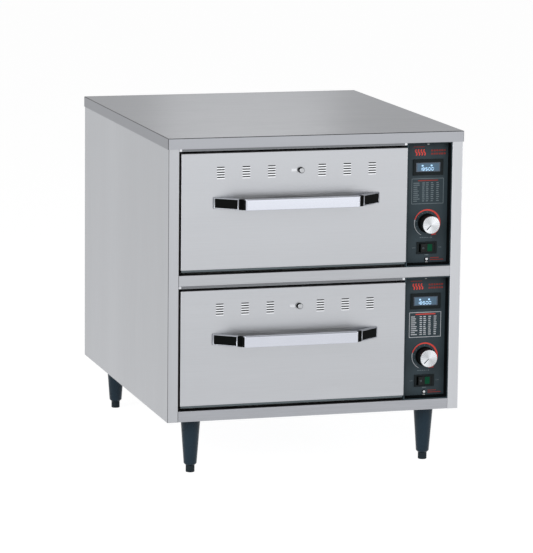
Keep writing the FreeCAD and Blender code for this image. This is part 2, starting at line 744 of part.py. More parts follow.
def make_header_rail():
    """Angle behind the lid's lip, with the upper drawer's stop strip."""
    body = register(new_body(), "header_rail")
    face = "FrontY + HeaderSetback"
    add(body, "YZ", "-RailHalf", "2 * RailHalf", [
        (face, "LipBottom"),
        (face, "PanelTop"),
        (f"{face} + HemFlange", "PanelTop"),
        (f"{face} + HemFlange", "PanelTop - SheetGauge"),
        (f"{face} + SheetGauge", "PanelTop - SheetGauge"),
        (f"{face} + SheetGauge", "LipBottom"),
    ])
    add_stop_strip(body, "LipBottom")


# Drawer bays.


def make_bay_liner():
    """Left wall, ceiling and rear wall of the drawer bays."""
    body = register(new_body(), "bay_liner")
    top = "CeilingZ + LinerGauge"
    add(body, "XZ", "BayFront", "BayRear - BayFront", [
        ("BayLeft - LinerGauge", "PlateZ"),
        ("BayLeft", "PlateZ"),
        ("BayLeft", "CeilingZ"),
        ("BayRight", "CeilingZ"),
        ("BayRight", top),
        ("BayLeft - LinerGauge", top),
    ])
    rear = rectangle(("BayLeft - LinerGauge", "BayRight"), ("LowerFloor - FloorHeight", top))
    add(body, "XZ", "BayRear", "LinerGauge", rear)


def element_run(index):
    """Depth of one straight run of a heating element."""
    return f"(BayFront + ElementFront + {index} * ElementPitch)"


def dial_height(floor):
    return f"({opening_middle(floor)} - DialDrop)"


def make_partition():
    """Wall between the drawer bays and the control compartment."""
    body = register(new_body(), "partition_wall")
    outline = rectangle(("BayFront", "RearSheet - SheetFit"), ("PlateZ", "PanelTop"))
    add(body, "YZ", "BayRight", "SheetGauge", outline)
    holes = []
    for _, floor in DRAWERS:
        for index in (0, ELEMENT_PASSES - 1):
            height = f"{floor} + ElementRise"
            holes.append(Circle(element_run(index), height, "ElementRadius + ElementFit"))
        holes.append(Circle("SensorY", dial_height(floor), "CapillaryRadius + ElementFit"))
    cut(body, "YZ", "BayRight", "SheetGauge", *holes)


def make_bay_floors():
    """Hollow floor of each bay, closed at the front."""
    body = register(new_body(), "bay_floors")
    for _, floor in DRAWERS:
        low = f"{floor} - FloorHeight"
        outer = rectangle(("BayLeft", "BayRight"), (low, floor))
        inner = rectangle(
            ("BayLeft + LinerGauge", "BayRight - LinerGauge"),
            (f"{low} + LinerGauge", f"{floor} - LinerGauge"),
        )
        add(body, "XZ", "BayFront", "LinerGauge", outer)
        add(body, "XZ", "BayFront + LinerGauge", "BayRear - BayFront - LinerGauge", outer, inner)


def make_insulation():
    """Mineral-wool boards round the bays and inside their floors."""
    across = ("BayLeft - LinerGauge", "BayRight")
    boards = [
        block(("SheetGauge - ShellHalf", "BayLeft - LinerGauge"),
              ("FrontY + StileReturn", "BayRear + LinerGauge"),
              ("PlateZ", "PanelTop - SheetGauge")),
        block(across, ("BayFront", "RearSheet"), ("CeilingZ + LinerGauge", "PanelTop")),
        block(across, ("BayRear + LinerGauge", "RearSheet"),
              ("LowerFloor - FloorHeight", "CeilingZ + LinerGauge")),
    ]
    for _, floor in DRAWERS:
        boards.append(block(
            ("BayLeft + LinerGauge", "BayRight - LinerGauge"),
            ("BayFront + LinerGauge", "BayRear"),
            (f"{floor} - FloorHeight + LinerGauge", f"{floor} - LinerGauge"),
        ))
    group("bay_insulation", boards)


def element_tube(floor):
    """Sheathed element in four runs, with both ends through the partition."""
    height = f"{floor} + ElementRise"
    left = "(BayLeft + ElementMargin + ElementPitch / 2)"
    right = "(BayRight - ElementMargin - ElementPitch / 2)"
    pieces = []
    for index in range(ELEMENT_PASSES):
        outer = index in (0, ELEMENT_PASSES - 1)
        end = "(BayRight + SheetGauge + TerminalReach)" if outer else right
        tube = doc.addObject("Part::Cylinder", "Run")
        bind(tube, "Radius", "ElementRadius")
        bind(tube, "Height", f"{end} - {left}")
        tube.Placement.Rotation = FreeCAD.Rotation(FreeCAD.Vector(0, 1, 0), 90)
        place(tube, left, element_run(index), height)
        pieces.append(tube)
    for index in range(ELEMENT_PASSES - 1):
        at_left = index % 2 == 0
        bend = doc.addObject("Part::Torus", "Bend")
        bind(bend, "Radius1", "ElementPitch / 2")
        bind(bend, "Radius2", "ElementRadius")
        bend.Angle3 = 180
        quarter = 90 if at_left else -90
        bend.Placement.Rotation = FreeCAD.Rotation(FreeCAD.Vector(0, 0, 1), quarter)
        place(bend, left if at_left else right, element_run(index + 0.5), height)
        pieces.append(bend)
    fused = doc.addObject("Part::MultiFuse", "Element")
    fused.Shapes = pieces
    return fused


def make_element_supports():
    """Strips on the bay floors with a hole for each run of the element."""
    body = register(new_body(), "element_supports")
    reach = (f"{element_run(0)} - SupportMargin",
             f"{element_run(ELEMENT_PASSES - 1)} + SupportMargin")
    for _, floor in DRAWERS:
        crown = f"{floor} + ElementRise + ElementRadius + SupportCrown"
        holes = [Circle(element_run(index), f"{floor} + ElementRise", "ElementRadius + SheetFit")
                 for index in range(ELEMENT_PASSES)]
        for side in (LEFT, RIGHT):
            near_face = f"BayMiddle + {side}(SupportSpread) - SupportGauge / 2"
            add(body, "YZ", near_face, "SupportGauge", rectangle(reach, (floor, crown)), *holes)


# Controls.


def make_control_panel(name, floor):
    """Dark tray set back between the rails, with openings for the controls."""
    body = register(new_body(), f"{name}_control_panel")
    low = f"{floor} + SheetFit"
    high = f"{floor} + OpeningHeight - SheetFit"
    outer = rectangle(("PanelLeft", "PanelRight"), (low, high))
    inner = rectangle(
        ("PanelLeft + PanelGauge", "PanelRight - PanelGauge"),
        (f"{low} + PanelGauge", f"{high} - PanelGauge"),
    )
    add(body, "XZ", "PanelFace", "PanelGauge", outer)
    add(body, "XZ", "FrontY + PanelReveal", "PanelSetback - PanelReveal", outer, inner)
    middle = opening_middle(floor)
    display = rectangle(
        centred("ControlX", "DisplayWidth - 2 * DisplayStep + 2 * ModuleFit"),
        centred(f"{middle} + DisplayRise", "DisplayHeight - 2 * DisplayStep + 2 * ModuleFit"),
    )
    switch = rectangle(
        centred("ControlX", "SwitchWidth - 2 * SwitchStep + 2 * ModuleFit"),
        centred(f"{middle} - SwitchDrop", "SwitchHeight - 2 * SwitchStep + 2 * ModuleFit"),
    )
    screws = [Circle("ControlX", f"{middle} {sign} PanelScrewSpread", "ScrewRadius + ScrewFit")
              for sign in "+-"]
    cut(body, "XZ", "PanelFace", "PanelGauge",
        display, switch,
        Circle("ControlX", dial_height(floor), "BushRadius + ModuleFit"),
        Circle("ControlX", f"{middle} - ButtonDrop", "ButtonRadius + RunningGap"),
        *screws)


def make_display_bezels():
    """Display modules clipped into the panels, with a step for the window."""
    body = register(new_body(), "display_bezels")
    for _, floor in DRAWERS:
        middle = f"{opening_middle(floor)} + DisplayRise"
        face = "PanelFace - DisplayProud"
        add(body, "XZ", face, "DisplayProud",
            rectangle(centred("ControlX", "DisplayWidth"), centred(middle, "DisplayHeight")))
        add(body, "XZ", "PanelFace", "DisplayDepth",
            rectangle(centred("ControlX", "DisplayWidth - 2 * DisplayStep"),
                      centred(middle, "DisplayHeight - 2 * DisplayStep")))
        cut(body, "XZ", face, "LensSink + LensGauge",
            rectangle(centred("ControlX", "LensWidth"), centred(middle, "LensHeight")))
    round_edges(body, "BezelRound", lambda edge: near(edge.BoundBox.YMax, face))


def make_display_lenses():
    body = register(new_body(), "display_lenses")
    for _, floor in DRAWERS:
        middle = f"{opening_middle(floor)} + DisplayRise"
        add(body, "XZ", "PanelFace - DisplayProud + LensSink", "LensGauge",
            rectangle(centred("ControlX", "LensWidth - 2 * ModuleFit"),
                      centred(middle, "LensHeight - 2 * ModuleFit")))


def make_thermostats():
    """Capillary thermostats: housing, bush, sensor tube and bulb in the bay."""
    body = register(new_body(), "thermostats")
    for _, floor in DRAWERS:
        height = dial_height(floor)
        bulb_x = "(BayRight - BulbInset)"
        add(body, "XZ", "ThermostatFront", "ThermostatDepth",
            rectangle(centred("ControlX", "ThermostatWidth"),
                      centred(height, "ThermostatHeight")))
        add(body, "XZ", "PanelFace", "PanelGauge + ThermostatGap",
            Circle("ControlX", height, "BushRadius"))
        add(body, "YZ", bulb_x, f"ControlX - ThermostatWidth / 2 - {bulb_x}",
            Circle("SensorY", height, "CapillaryRadius"))
        add(body, "XZ", "SensorY - BulbRadius", "BulbLength",
            Circle(bulb_x, height, "BulbRadius"))
        cut(body, "XZ", "PanelFace", "PanelGauge + ThermostatGap + SpindleDepth + SheetFit",
            Circle("ControlX", height, "SpindleRadius + SpindleFit"))


def make_knob(name, floor):
    """Knob body with the thermostat's spindle in its hub."""
    body = register(new_body(), f"{name}_knob")
    bore = "SpindleRadius + SpindleFit"
    hub = "-KnobGap - SpindleGrip"
    face = "KnobCapGauge - KnobReach"
    turn(body, "XY", [
        (bore, "-KnobGap"),
        ("KnobRadius", "-KnobGap"),
        ("KnobRadius - KnobDraft", face),
        ("0", face),
        ("0", hub),
        (bore, hub),
    ])
    length = "KnobGap + SpindleGrip + PanelGauge + ThermostatGap + SpindleDepth - SpindleFit"
    add(body, "XZ", f"{hub} + SpindleFit", length, Circle("0", "0", "SpindleRadius"))
    body.Placement.Rotation = FreeCAD.Rotation(FreeCAD.Vector(0, 1, 0), POINTER_AT_REST)
    place(body, "ControlX", "PanelFace", dial_height(floor))


def make_knob_cap(name, floor):
    """Bright disc on the knob, with a groove as its pointer."""
    body = register(new_body(), f"{name}_knob_cap")
    add(body, "XZ", "-KnobReach", "KnobCapGauge", Circle("0", "0", "KnobCapRadius"))
    round_edges(body, "KnobCapRound", lambda edge: near(edge.BoundBox.YMax, "-KnobReach"))
    groove = rectangle(centred("0", "PointerWidth"),
                       ("PointerStart", "PointerStart + PointerLength"))
    cut(body, "XZ", "-KnobReach", "PointerSink", groove)
    body.Placement.Rotation = FreeCAD.Rotation(FreeCAD.Vector(0, 1, 0), POINTER_AT_REST)
    place(body, "ControlX", "PanelFace", dial_height(floor))


def make_switch_housings():
    body = register(new_body(), "switch_housings")
    for _, floor in DRAWERS:
        middle = f"{opening_middle(floor)} - SwitchDrop"
        face = "PanelFace - SwitchProud"
        add(body, "XZ", face, "SwitchProud",
            rectangle(centred("ControlX", "SwitchWidth"), centred(middle, "SwitchHeight")))
        add(body, "XZ", "PanelFace", "SwitchDepth",
            rectangle(centred("ControlX", "SwitchWidth - 2 * SwitchStep"),
                      centred(middle, "SwitchHeight - 2 * SwitchStep")))
        cut(body, "XZ", face, "WellDepth",
            rectangle(centred("ControlX", "WellWidth"), centred(middle, "WellHeight")))
    round_edges(body, "BezelRound", lambda edge: near(edge.BoundBox.YMax, face))


def make_rocker(name, floor):
    """Rocker seen from above, pressed in on its right half."""
    body = register(new_body(), f"{name}_rocker")
    half_height = "(WellHeight / 2 - RunningGap)"
    add(body, "XY", f"-{half_height}", f"2 * {half_height}", [
        ("-RockerHalf", "-RockerRise - RockerFlare"),
        ("0", "-RockerRise"),
        ("RockerHalf", "-RockerRise - RockerFlare"),
        ("RockerHalf", "-RockerRise / 2"),
        ("RockerKeelHalf", "RockerKeel"),
        ("-RockerKeelHalf", "RockerKeel"),
        ("-RockerHalf", "-RockerRise / 2"),
    ])
    body.Placement.Rotation = FreeCAD.Rotation(FreeCAD.Vector(0, 0, 1), value_of("RockerTilt"))
    place(body, "ControlX", "PanelFace + PivotDepth", f"{opening_middle(floor)} - SwitchDrop")


def make_button(name, floor):
    body = register(new_body(), f"{name}_button")
    add(body, "XZ", "PanelFace - ButtonProud", "ButtonProud + ButtonDepth",
        Circle("ControlX", f"{opening_middle(floor)} - ButtonDrop", "ButtonRadius"))
    round_edges(body, "ButtonRound",
                lambda edge: near(edge.BoundBox.YMax, "PanelFace - ButtonProud"))


def screw(x, y, z, side):
    """Pan-head screw seated at y, its head towards -Y or, with RIGHT, towards +Y."""
    body = new_body()
    inward = RIGHT if side == LEFT else LEFT
    turn(body, "XY", [
        ("0", f"{side}ScrewHeadHeight"),
        ("ScrewHeadRadius / 2", f"{side}ScrewHeadHeight"),
        ("ScrewHeadRadius", f"{side}ScrewHeadHeight / 2"),
        ("ScrewHeadRadius", "0"),
        ("ScrewRadius", "0"),
        ("ScrewRadius", f"{inward}ScrewLength"),
        ("0", f"{inward}ScrewLength"),
    ])
    place(body, x, y, z)
    return body


def make_screws():
    """Screws of the control panels and the rear panel."""
    screws = [screw(x, "RearY", z, RIGHT)
              for side in (LEFT, RIGHT) for x, z in rear_screw_places(side)]
    for _, floor in DRAWERS:
        for sign in "+-":
            height = f"{opening_middle(floor)} {sign} PanelScrewSpread"
            screws.append(screw("ControlX", "PanelFace", height, LEFT))
    group("panel_screws", screws)


# Slides.


def from_wall(side, distance):
    """Place a distance off the left or the right bay wall."""
    return f"(BayLeft + ({distance}))" if side == LEFT else f"(BayRight - ({distance}))"


def slide_channel(side, web, tip, gauge, floor, half):
    """Channel section with its web at one depth and its flanges' tips at another."""
    middle = f"({floor} + SlideRise)"
    web_out = from_wall(side, web)
    web_in = from_wall(side, f"{web} + {gauge}")
    tips = from_wall(side, tip)
    return [
        (web_out, f"{middle} - {half}"),
        (tips, f"{middle} - {half}"),
        (tips, f"{middle} - {half} + SlideGauge"),
        (web_in, f"{middle} - {half} + SlideGauge"),
        (web_in, f"{middle} + {half} - SlideGauge"),
        (tips, f"{middle} + {half} - SlideGauge"),
        (tips, f"{middle} + {half}"),
        (web_out, f"{middle} + {half}"),
    ]


OUTER_HALF = "SlideHeight / 2"
MIDDLE_HALF = "(SlideHeight / 2 - SlideGauge - SlideGap)"
INNER_HALF = "(SlideHeight / 2 - 2 * SlideGauge - 2 * SlideGap)"


def make_slide_outers():
    """Fixed slide members on both walls of both bays."""
    body = register(new_body(), "slide_outer_members")
    for _, floor in DRAWERS:
        for side in (LEFT, RIGHT):
            add(body, "XZ", "SlideFront", "SlideLength",
                slide_channel(side, "0", "SlideLip", "SlideGauge", floor, OUTER_HALF))


def make_slide_middles(name, floor):
    """Middle slide members, which run out half as far as the drawer."""
    body = register(new_body(), f"{name}_slide_middle_members")
    web = "SlideGauge + SlideGap"
    for side in (LEFT, RIGHT):
        add(body, "XZ", "SlideFront", "SlideLength",
            slide_channel(side, web, "SlideLip", "SlideGauge", floor, MIDDLE_HALF))


def make_slide_inners(name, floor):
    """Inner slide members on the drawer frame, open towards the walls."""
    body = register(new_body(), f"{name}_slide_inner_members")
    tip = "2 * SlideGauge + 2 * SlideGap"
    for side in (LEFT, RIGHT):
        add(body, "XZ", "SlideFront", "SlideLength",
            slide_channel(side, "SlideWidth", tip, "(-SlideGauge)", floor, INNER_HALF))


# Drawers.


def vent_row(floor):
    """Height of the middle of the vents."""
    return f"({drawer_head(floor)} - VentDrop)"


def at_vents(floor, width, height):
    """One rectangle at each vent group."""
    return [rectangle(centred(f"TrimX + {column} * VentPitch", width), height)
            for column in VENT_COLUMNS]


def cut_slots(body, level, depth, floor):
    """Cut the slots of all vent groups, in rows above each other."""
    lowest = f"{vent_row(floor)} - {(SLOTS_PER_VENT - 1) / 2} * SlotPitch"
    row = cut(body, "XZ", level, depth,
              *at_vents(floor, "SlotWidth", centred(lowest, "SlotHeight")))
    repeat(body, row, "V_Axis", "SlotPitch", SLOTS_PER_VENT)


def make_front_skin(name, floor):
    """Outer pan of the drawer front, with vents, shutter slot and guides."""
    body = register(new_body(), f"{name}_drawer_front")
    foot = drawer_foot(floor)
    head = drawer_head(floor)
    outer = rectangle(("FrontLeft", "FrontRight"), (foot, head))
    inner = rectangle(
        ("FrontLeft + SheetGauge", "FrontRight - SheetGauge"),
        (f"{foot} + SheetGauge", f"{head} - SheetGauge"),
    )
    add(body, "XZ", "FrontFace", "SheetGauge", outer)
    flange = "FrontDepth - SheetGauge - LinerGauge - SheetFit"
    add(body, "XZ", "FrontFace + SheetGauge", flange, outer, inner)

    round_edges(body, "FrontRadius", lambda edge: near(edge.BoundBox.YMax, "FrontFace"))
    add_shutter_guides(body, floor)
    track = rectangle(
        centred("TrimX", "ShutterTravel + 2 * TabStemRadius + 2 * RunningGap"),
        centred(vent_row(floor), "2 * TabStemRadius + 2 * RunningGap"),
    )
    studs = [Circle(f"TrimX {sign} {stud_offset()}", f"{head} - HandleDrop",
                    "HandleStudRadius + StudFit") for sign in "+-"]
    cut(body, "XZ", "FrontFace", "SheetGauge", track, *studs)
    cut_slots(body, "FrontFace", "SheetGauge", floor)


def stud_offset():
    """Handle studs from the handle's middle, under the brackets' feet."""
    return "(HandleSpan / 2 - BracketFoot - HandleStudRadius)"


def add_shutter_guides(body, floor):
    """Two hooked strips behind the skin that hold the shutter."""
    skin = "FrontFace + SheetGauge"
    lip = f"{skin} + ShutterGauge + 2 * RunningGap"
    for sign, other in (("+", "-"), ("-", "+")):
        edge = f"{vent_row(floor)} {sign} (ShutterHeight / 2 + RunningGap)"
        add(body, "YZ", "TrimX - 3 * VentPitch", "6 * VentPitch", [
            (skin, edge),
            (skin, f"{edge} {sign} LinerGauge"),
            (f"{lip} + LinerGauge", f"{edge} {sign} LinerGauge"),
            (f"{lip} + LinerGauge", f"{edge} {other} SlotPitch / 2"),
            (lip, f"{edge} {other} SlotPitch / 2"),
            (lip, edge),
        ])


def make_front_liner(name, floor):
    """Inner sheet of the drawer front, with a lip showing under the skin."""
    body = register(new_body(), f"{name}_drawer_liner")
    foot = drawer_foot(floor)
    head = f"{drawer_head(floor)} - SheetGauge - SheetFit"
    lip = "FrontFace + LinerSetback"
    inner = "FrontBack - LinerGauge"
    low = f"{foot} - LinerDrop"
    left = "FrontLeft + SheetGauge + SheetFit"
    add(body, "YZ", left, "FrontWidth - 2 * SheetGauge - 2 * SheetFit", [
        (lip, f"{foot} - SheetFit"),
        (lip, low),
        ("FrontBack", low),
        ("FrontBack", head),
        ("FrontBack - LinerHem", head),
        ("FrontBack - LinerHem", f"{head} - LinerGauge"),
        (inner, f"{head} - LinerGauge"),
        (inner, f"{low} + LinerGauge"),
        (f"{lip} + LinerGauge", f"{low} + LinerGauge"),
        (f"{lip} + LinerGauge", f"{foot} - SheetFit"),
    ])
    cut(body, "XZ", inner, "LinerGauge",
        *at_vents(floor, "LinerWindow", centred(vent_row(floor), "LinerWindow")))


def make_front_core(name, floor):
    """Insulation board inside the drawer front, below the vents."""
    rear = "FrontBack - LinerGauge"
    margin = "(SheetGauge + SheetFit)"
    top = f"{vent_row(floor)} - ShutterHeight / 2 - 2 * SlotPitch"
    core = block(
        (f"FrontLeft + {margin}", f"FrontRight - {margin}"),
        (f"{rear} - CoreGauge", rear),
        (f"{drawer_foot(floor)} + {margin}", top),
    )
    register(core, f"{name}_front_insulation")


def make_shutter(name, floor):
    """Slotted plate behind the vents, with its knob in front."""
    body = register(new_body(), f"{name}_vent_shutter")
    row = vent_row(floor)
    near_face = "FrontFace + SheetGauge + RunningGap"
    reach = "3 * VentPitch + SlotWidth / 2 + ShutterMargin"
    plate = rectangle((f"TrimX - ({reach})", f"TrimX + {reach}"),
                      centred(row, "ShutterHeight"))
    add(body, "XZ", near_face, "ShutterGauge", plate)
    x = "TrimX + ShutterTravel / 2"
    add(body, "XZ", "FrontFace - RunningGap", "SheetGauge + 2 * RunningGap",
        Circle(x, row, "TabStemRadius"))
    add(body, "XZ", "FrontFace - TabReach", "TabReach - RunningGap",
        Circle(x, row, "TabRadius"))
    round_edges(body, "TabRound",
                lambda edge: near(edge.BoundBox.YMax, "FrontFace - TabReach"))
    cut_slots(body, near_face, "ShutterGauge", floor)


def slope_point(along, depth):
    """Point of the right bracket, down its slope from the crest and into it."""
    outward = f"(BracketTip + ({along}) * SlopeRun - ({depth}) * SlopeRise)"
    away = f"(BracketCrest - ({along}) * SlopeRise - ({depth}) * SlopeRun)"
    return outward, away


def handle_outline(points):
    """Plan outline of the right end of the handle from outward and away pairs."""
    return [(f"TrimX + {outward}", f"FrontFace - ({away})") for outward, away in points]


def inset_outline(depth_in, fit):
    """Plan section of the plate in the sloping face, or of its pocket."""
    start = f"InsetMargin + {fit}"
    end = f"BracketSlope - InsetMargin - {fit}"
    return handle_outline([
        slope_point(start, "0"), slope_point(end, "0"),
        slope_point(end, depth_in), slope_point(start, depth_in),
    ])


def make_handle_brackets(name, floor):
    """Bright sloping brackets at both ends of the handle, with their studs."""
    body = register(new_body(), f"{name}_handle_brackets")
    height = f"{drawer_head(floor)} - HandleDrop"
    inner_crest = slope_point("0", "BracketDepth")
    foot_in = f"(HandleSpan / 2 - BracketDepth / SlopeRise + BracketFoot * SlopeRun / SlopeRise)"
    outline = handle_outline([
        ("HandleSpan / 2", "0"),
        ("HandleSpan / 2", "BracketFoot"),
        ("BracketTip", "BracketCrest"),
        inner_crest,
        (foot_in, "0"),
    ])
    solid = add(body, "XY", f"{height} - HandleHeight / 2", "HandleHeight", outline)
    pocket = cut(body, "XY", f"{height} - InsetHeight / 2", "InsetHeight",
                 inset_outline("InsetGauge", "0"))
    stud = add(body, "XZ", "FrontFace", "SheetGauge + HandleStudLength",
               Circle(f"TrimX + {stud_offset()}", height, "HandleStudRadius"))
    mirror(body, [solid, pocket, stud], "TrimX")

    def long_edge(edge):
        box = edge.BoundBox
        flat = near(box.ZMin, f"{height} - HandleHeight / 2") or near(
            box.ZMax, f"{height} + HandleHeight / 2")
        return flat and box.ZLength < 1e-6 and box.YLength > value_of("BracketRise / 2")

    round_edges(body, "BracketRound", long_edge)


def make_handle_insets(name, floor):
    """Dark plates in the brackets and dark collars between brackets and grip."""
    body = register(new_body(), f"{name}_handle_insets")
    height = f"{drawer_head(floor)} - HandleDrop"
    plate = add(body, "XY", f"{height} - InsetHeight / 2 + SheetFit",
                "InsetHeight - 2 * SheetFit", inset_outline("InsetGauge", "SheetFit"))
    collar = add(body, "XY", f"{height} - CollarHeight / 2", "CollarHeight", handle_outline([
        slope_point("0", "CollarStep"),
        ("GripSpan / 2", "HandleStandoff - CollarStep"),
        ("GripSpan / 2", "HandleStandoff - GripDepth + CollarStep"),
        slope_point("0", "BracketDepth - CollarStep"),
    ]))
    mirror(body, [plate, collar], "TrimX")


def make_handle_grip(name, floor):
    body = register(new_body(), f"{name}_handle_grip")
    height = f"{drawer_head(floor)} - HandleDrop"
    face = "FrontFace - HandleStandoff"
    add(body, "XY", f"{height} - HandleHeight / 2", "HandleHeight",
        Rounded(centred("TrimX", "GripSpan"), (face, f"{face} + GripDepth"), "GripRadius"))
    round_edges(body, "GripRound", lambda edge: not runs_along(edge, "Z"))


def make_pan_frame(name, floor):
    """Folded drawer frame with a rounded opening for the pan."""
    body = register(new_body(), f"{name}_drawer_frame")
    low = f"{floor} + PanRise - FrameDrop"
    side = ("FrameLeft", "FrameRight")
    depth = ("FrontBack", "SlideRear")
    outer = rectangle(side, depth)
    inner = rectangle(
        ("FrameLeft + FrameGauge", "FrameRight - FrameGauge"),
        ("FrontBack + FrameGauge", "SlideRear - FrameGauge"),
    )
    add(body, "XY", low, "FrameDrop - FrameGauge", outer, inner)
    add(body, "XY", f"{floor} + PanRise - FrameGauge", "FrameGauge", outer)
    cut(body, "XY", f"{floor} + PanRise - FrameGauge", "FrameGauge",
        pan_outline("PanRim - PanFit", "PanCorner + PanFit"))


def pan_outline(inset, corner):
    """Rounded rectangle inside the pan's rim by an inset."""
    return Rounded(
        centred("BayMiddle", f"PanWidth - 2 * ({inset})"),
        (f"PanFront + {inset}", f"PanFront + PanLength - ({inset})"),
        corner,
    )


def make_food_pan(name, floor):
    """Full-size lift-out pan hanging by its rim."""
    body = register(new_body(), f"{name}_food_pan")
    rim = f"{floor} + PanRise"
    base = f"{rim} - PanDepth"
    add(body, "XY", base, "PanDepth", pan_outline("PanRim", "PanCorner"))
    round_edges(body, "PanHeel", lambda edge: near(edge.BoundBox.ZMax, base))
    hollow_from_above(body, rim, "PanGauge")
    add(body, "XY", rim, "PanGauge",
        pan_outline("0", "PanCorner + PanRim / 2"),
        pan_outline("PanRim + PanGauge", "PanCorner - PanGauge"))


# Legs, feet and rear fittings.


def make_legs():
    """Tapered legs with a stud above and a bore for the foot's stem below."""
    legs = []
    for x, y in leg_places().values():
        body = new_body()
        top = "PanZ"
        turn(body, "XZ", [
            ("StemRadius + StemFit", "FootHeight"),
            ("LegFootRadius - LegChamfer", "FootHeight"),
            ("LegFootRadius", "FootHeight + LegChamfer"),
            ("LegTopRadius", top),
            ("StudRadius", top),
            ("StudRadius", "PlateZ + LegPlateGauge"),
            ("0", "PlateZ + LegPlateGauge"),
            ("0", "FootHeight + StemLength + StemFit"),
            ("StemRadius + StemFit", "FootHeight + StemLength + StemFit"),
        ])
        place(body, x, y, "0")
        legs.append(body)
    group("legs", legs)


def make_foot(corner, x, y):
    """Levelling foot with its stem in the leg."""
    body = register(new_body(), f"{corner}_foot")
    shoulder = "FootHeight - FootSeat"
    bevel = "FootSeat * 4"
    turn(body, "XZ", [
        ("0", "0"),
        (f"FootRadius - {bevel}", "0"),
        ("FootRadius", bevel),
        ("FootRadius", shoulder),
        ("StemRadius", shoulder),
        ("StemRadius", f"{shoulder} + StemLength"),
        ("0", f"{shoulder} + StemLength"),
    ])
    place(body, x, y, "0")


def make_leg_plates():
    """Stiffening plates on the base pan, bored for the legs' studs."""
    body = register(new_body(), "leg_plates")
    outlines = []
    for x, y in leg_places().values():
        outlines.append(rectangle(centred(x, "LegPlateWidth"), centred(y, "LegPlateWidth")))
        outlines.append(Circle(x, y, "StudRadius + StemFit"))
    add(body, "XY", "PlateZ", "LegPlateGauge", *outlines)


def make_cord_gland():
    """Bored gland through the rear panel, with its nut inside."""
    body = register(new_body(), "cord_gland")
    turn(body, "XY", [
        ("GlandBore", "-GlandDepth"),
        ("GlandNeck", "-GlandDepth"),
        ("GlandNeck", "0"),
        ("GlandRadius", "0"),
        ("GlandRadius", "GlandFlange"),
        ("GlandNeck", "GlandReach"),
        ("GlandBore", "GlandReach"),
    ])
    add(body, "XZ", "-SheetGauge - GlandNutGauge", "GlandNutGauge",
        Circle("0", "0", "GlandNutRadius"), Circle("0", "0", "GlandNeck + GlandFit"))
    place(body, "ControlX", "RearY", "BaseZ + GlandRise")


def make_terminal_block():
    """Mains terminal block on the partition."""
    body = register(new_body(), "terminal_block")
    wall = "BayRight + SheetGauge"
    start = "RearY - BlockInset - BlockLength"
    low = "BaseZ + BlockRise"
    add(body, "YZ", wall, "BlockWidth",
        rectangle((start, f"{start} + BlockLength"), (low, f"{low} + BlockHeight")))
    ways = []
    for index in range(BLOCK_WAYS):
        middle = f"{start} + ({index} + 0.5) * BlockLength / {BLOCK_WAYS}"
        ways.append(rectangle(centred(middle, "BlockPocket"),
                              centred(f"{low} + BlockHeight / 2", "BlockPocket")))
    cut(body, "YZ", f"{wall} + BlockWidth / 2", "BlockWidth / 2", *ways)


def build():
    """Make every sub-part."""
    make_top_cover()
    make_side_panel("left_side_panel", LEFT)
    make_side_panel("right_side_panel", RIGHT)
    make_rear_panel()
    make_base_pan()
    make_header_rail()
    make_middle_rail()
    make_bottom_rail()
    make_bay_liner()
    make_partition()
    make_bay_floors()
    make_insulation()
    group("heating_elements", [element_tube(floor) for _, floor in DRAWERS])
    make_element_supports()
    make_display_bezels()
    make_display_lenses()
    make_thermostats()
    make_switch_housings()
    make_slide_outers()
    make_legs()
    make_leg_plates()
    make_cord_gland()
    make_terminal_block()
    make_screws()
    for corner, (x, y) in leg_places().items():
        make_foot(corner, x, y)
    for name, floor in DRAWERS:
        make_control_panel(name, floor)
        make_knob(name, floor)
        make_knob_cap(name, floor)
        make_rocker(name, floor)
        make_button(name, floor)
        make_slide_middles(name, floor)
        make_slide_inners(name, floor)
        make_front_skin(name, floor)
        make_front_liner(name, floor)
        make_front_core(name, floor)
        make_shutter(name, floor)
        make_handle_brackets(name, floor)
        make_handle_insets(name, floor)
        make_handle_grip(name, floor)
        make_pan_frame(name, floor)
        make_food_pan(name, floor)


def check():
    """Stop if any object failed, any pocket cut nothing or any sub-part is not sound."""
    for thing in doc.Objects:
        if {"Invalid", "Error"} & set(thing.State):
            raise RuntimeError(f"{thing.Name} ({thing.Label}) is {thing.State}")
        if thing.TypeId == "PartDesign::Pocket":
            before = thing.BaseFeature.Shape.Volume
            if not thing.Shape.Volume < before - 1e-3:
                raise RuntimeError(f"{thing.Name} cuts nothing")
    for node in nodes:
        if node.Shape.isNull() or not node.Shape.isValid() or not node.Shape.Solids:
            raise RuntimeError(f"{node.Label} has no sound shape")


build()
doc.recompute()
check()
os.makedirs("parts", exist_ok=True)
for node in nodes:
    node.Shape.exportStep(f"parts/{node.Label}.step")
print(f"{len(nodes)} sub-parts")
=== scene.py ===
"""Two-drawer warming cabinet: finishes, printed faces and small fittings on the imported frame."""

import logging
from collections.abc import Iterable, Sequence
from dataclasses import dataclass, field
from enum import Enum
from functools import cache
from math import cos, pi, radians, sin

import bmesh
import bpy
from mathutils import Matrix, Vector


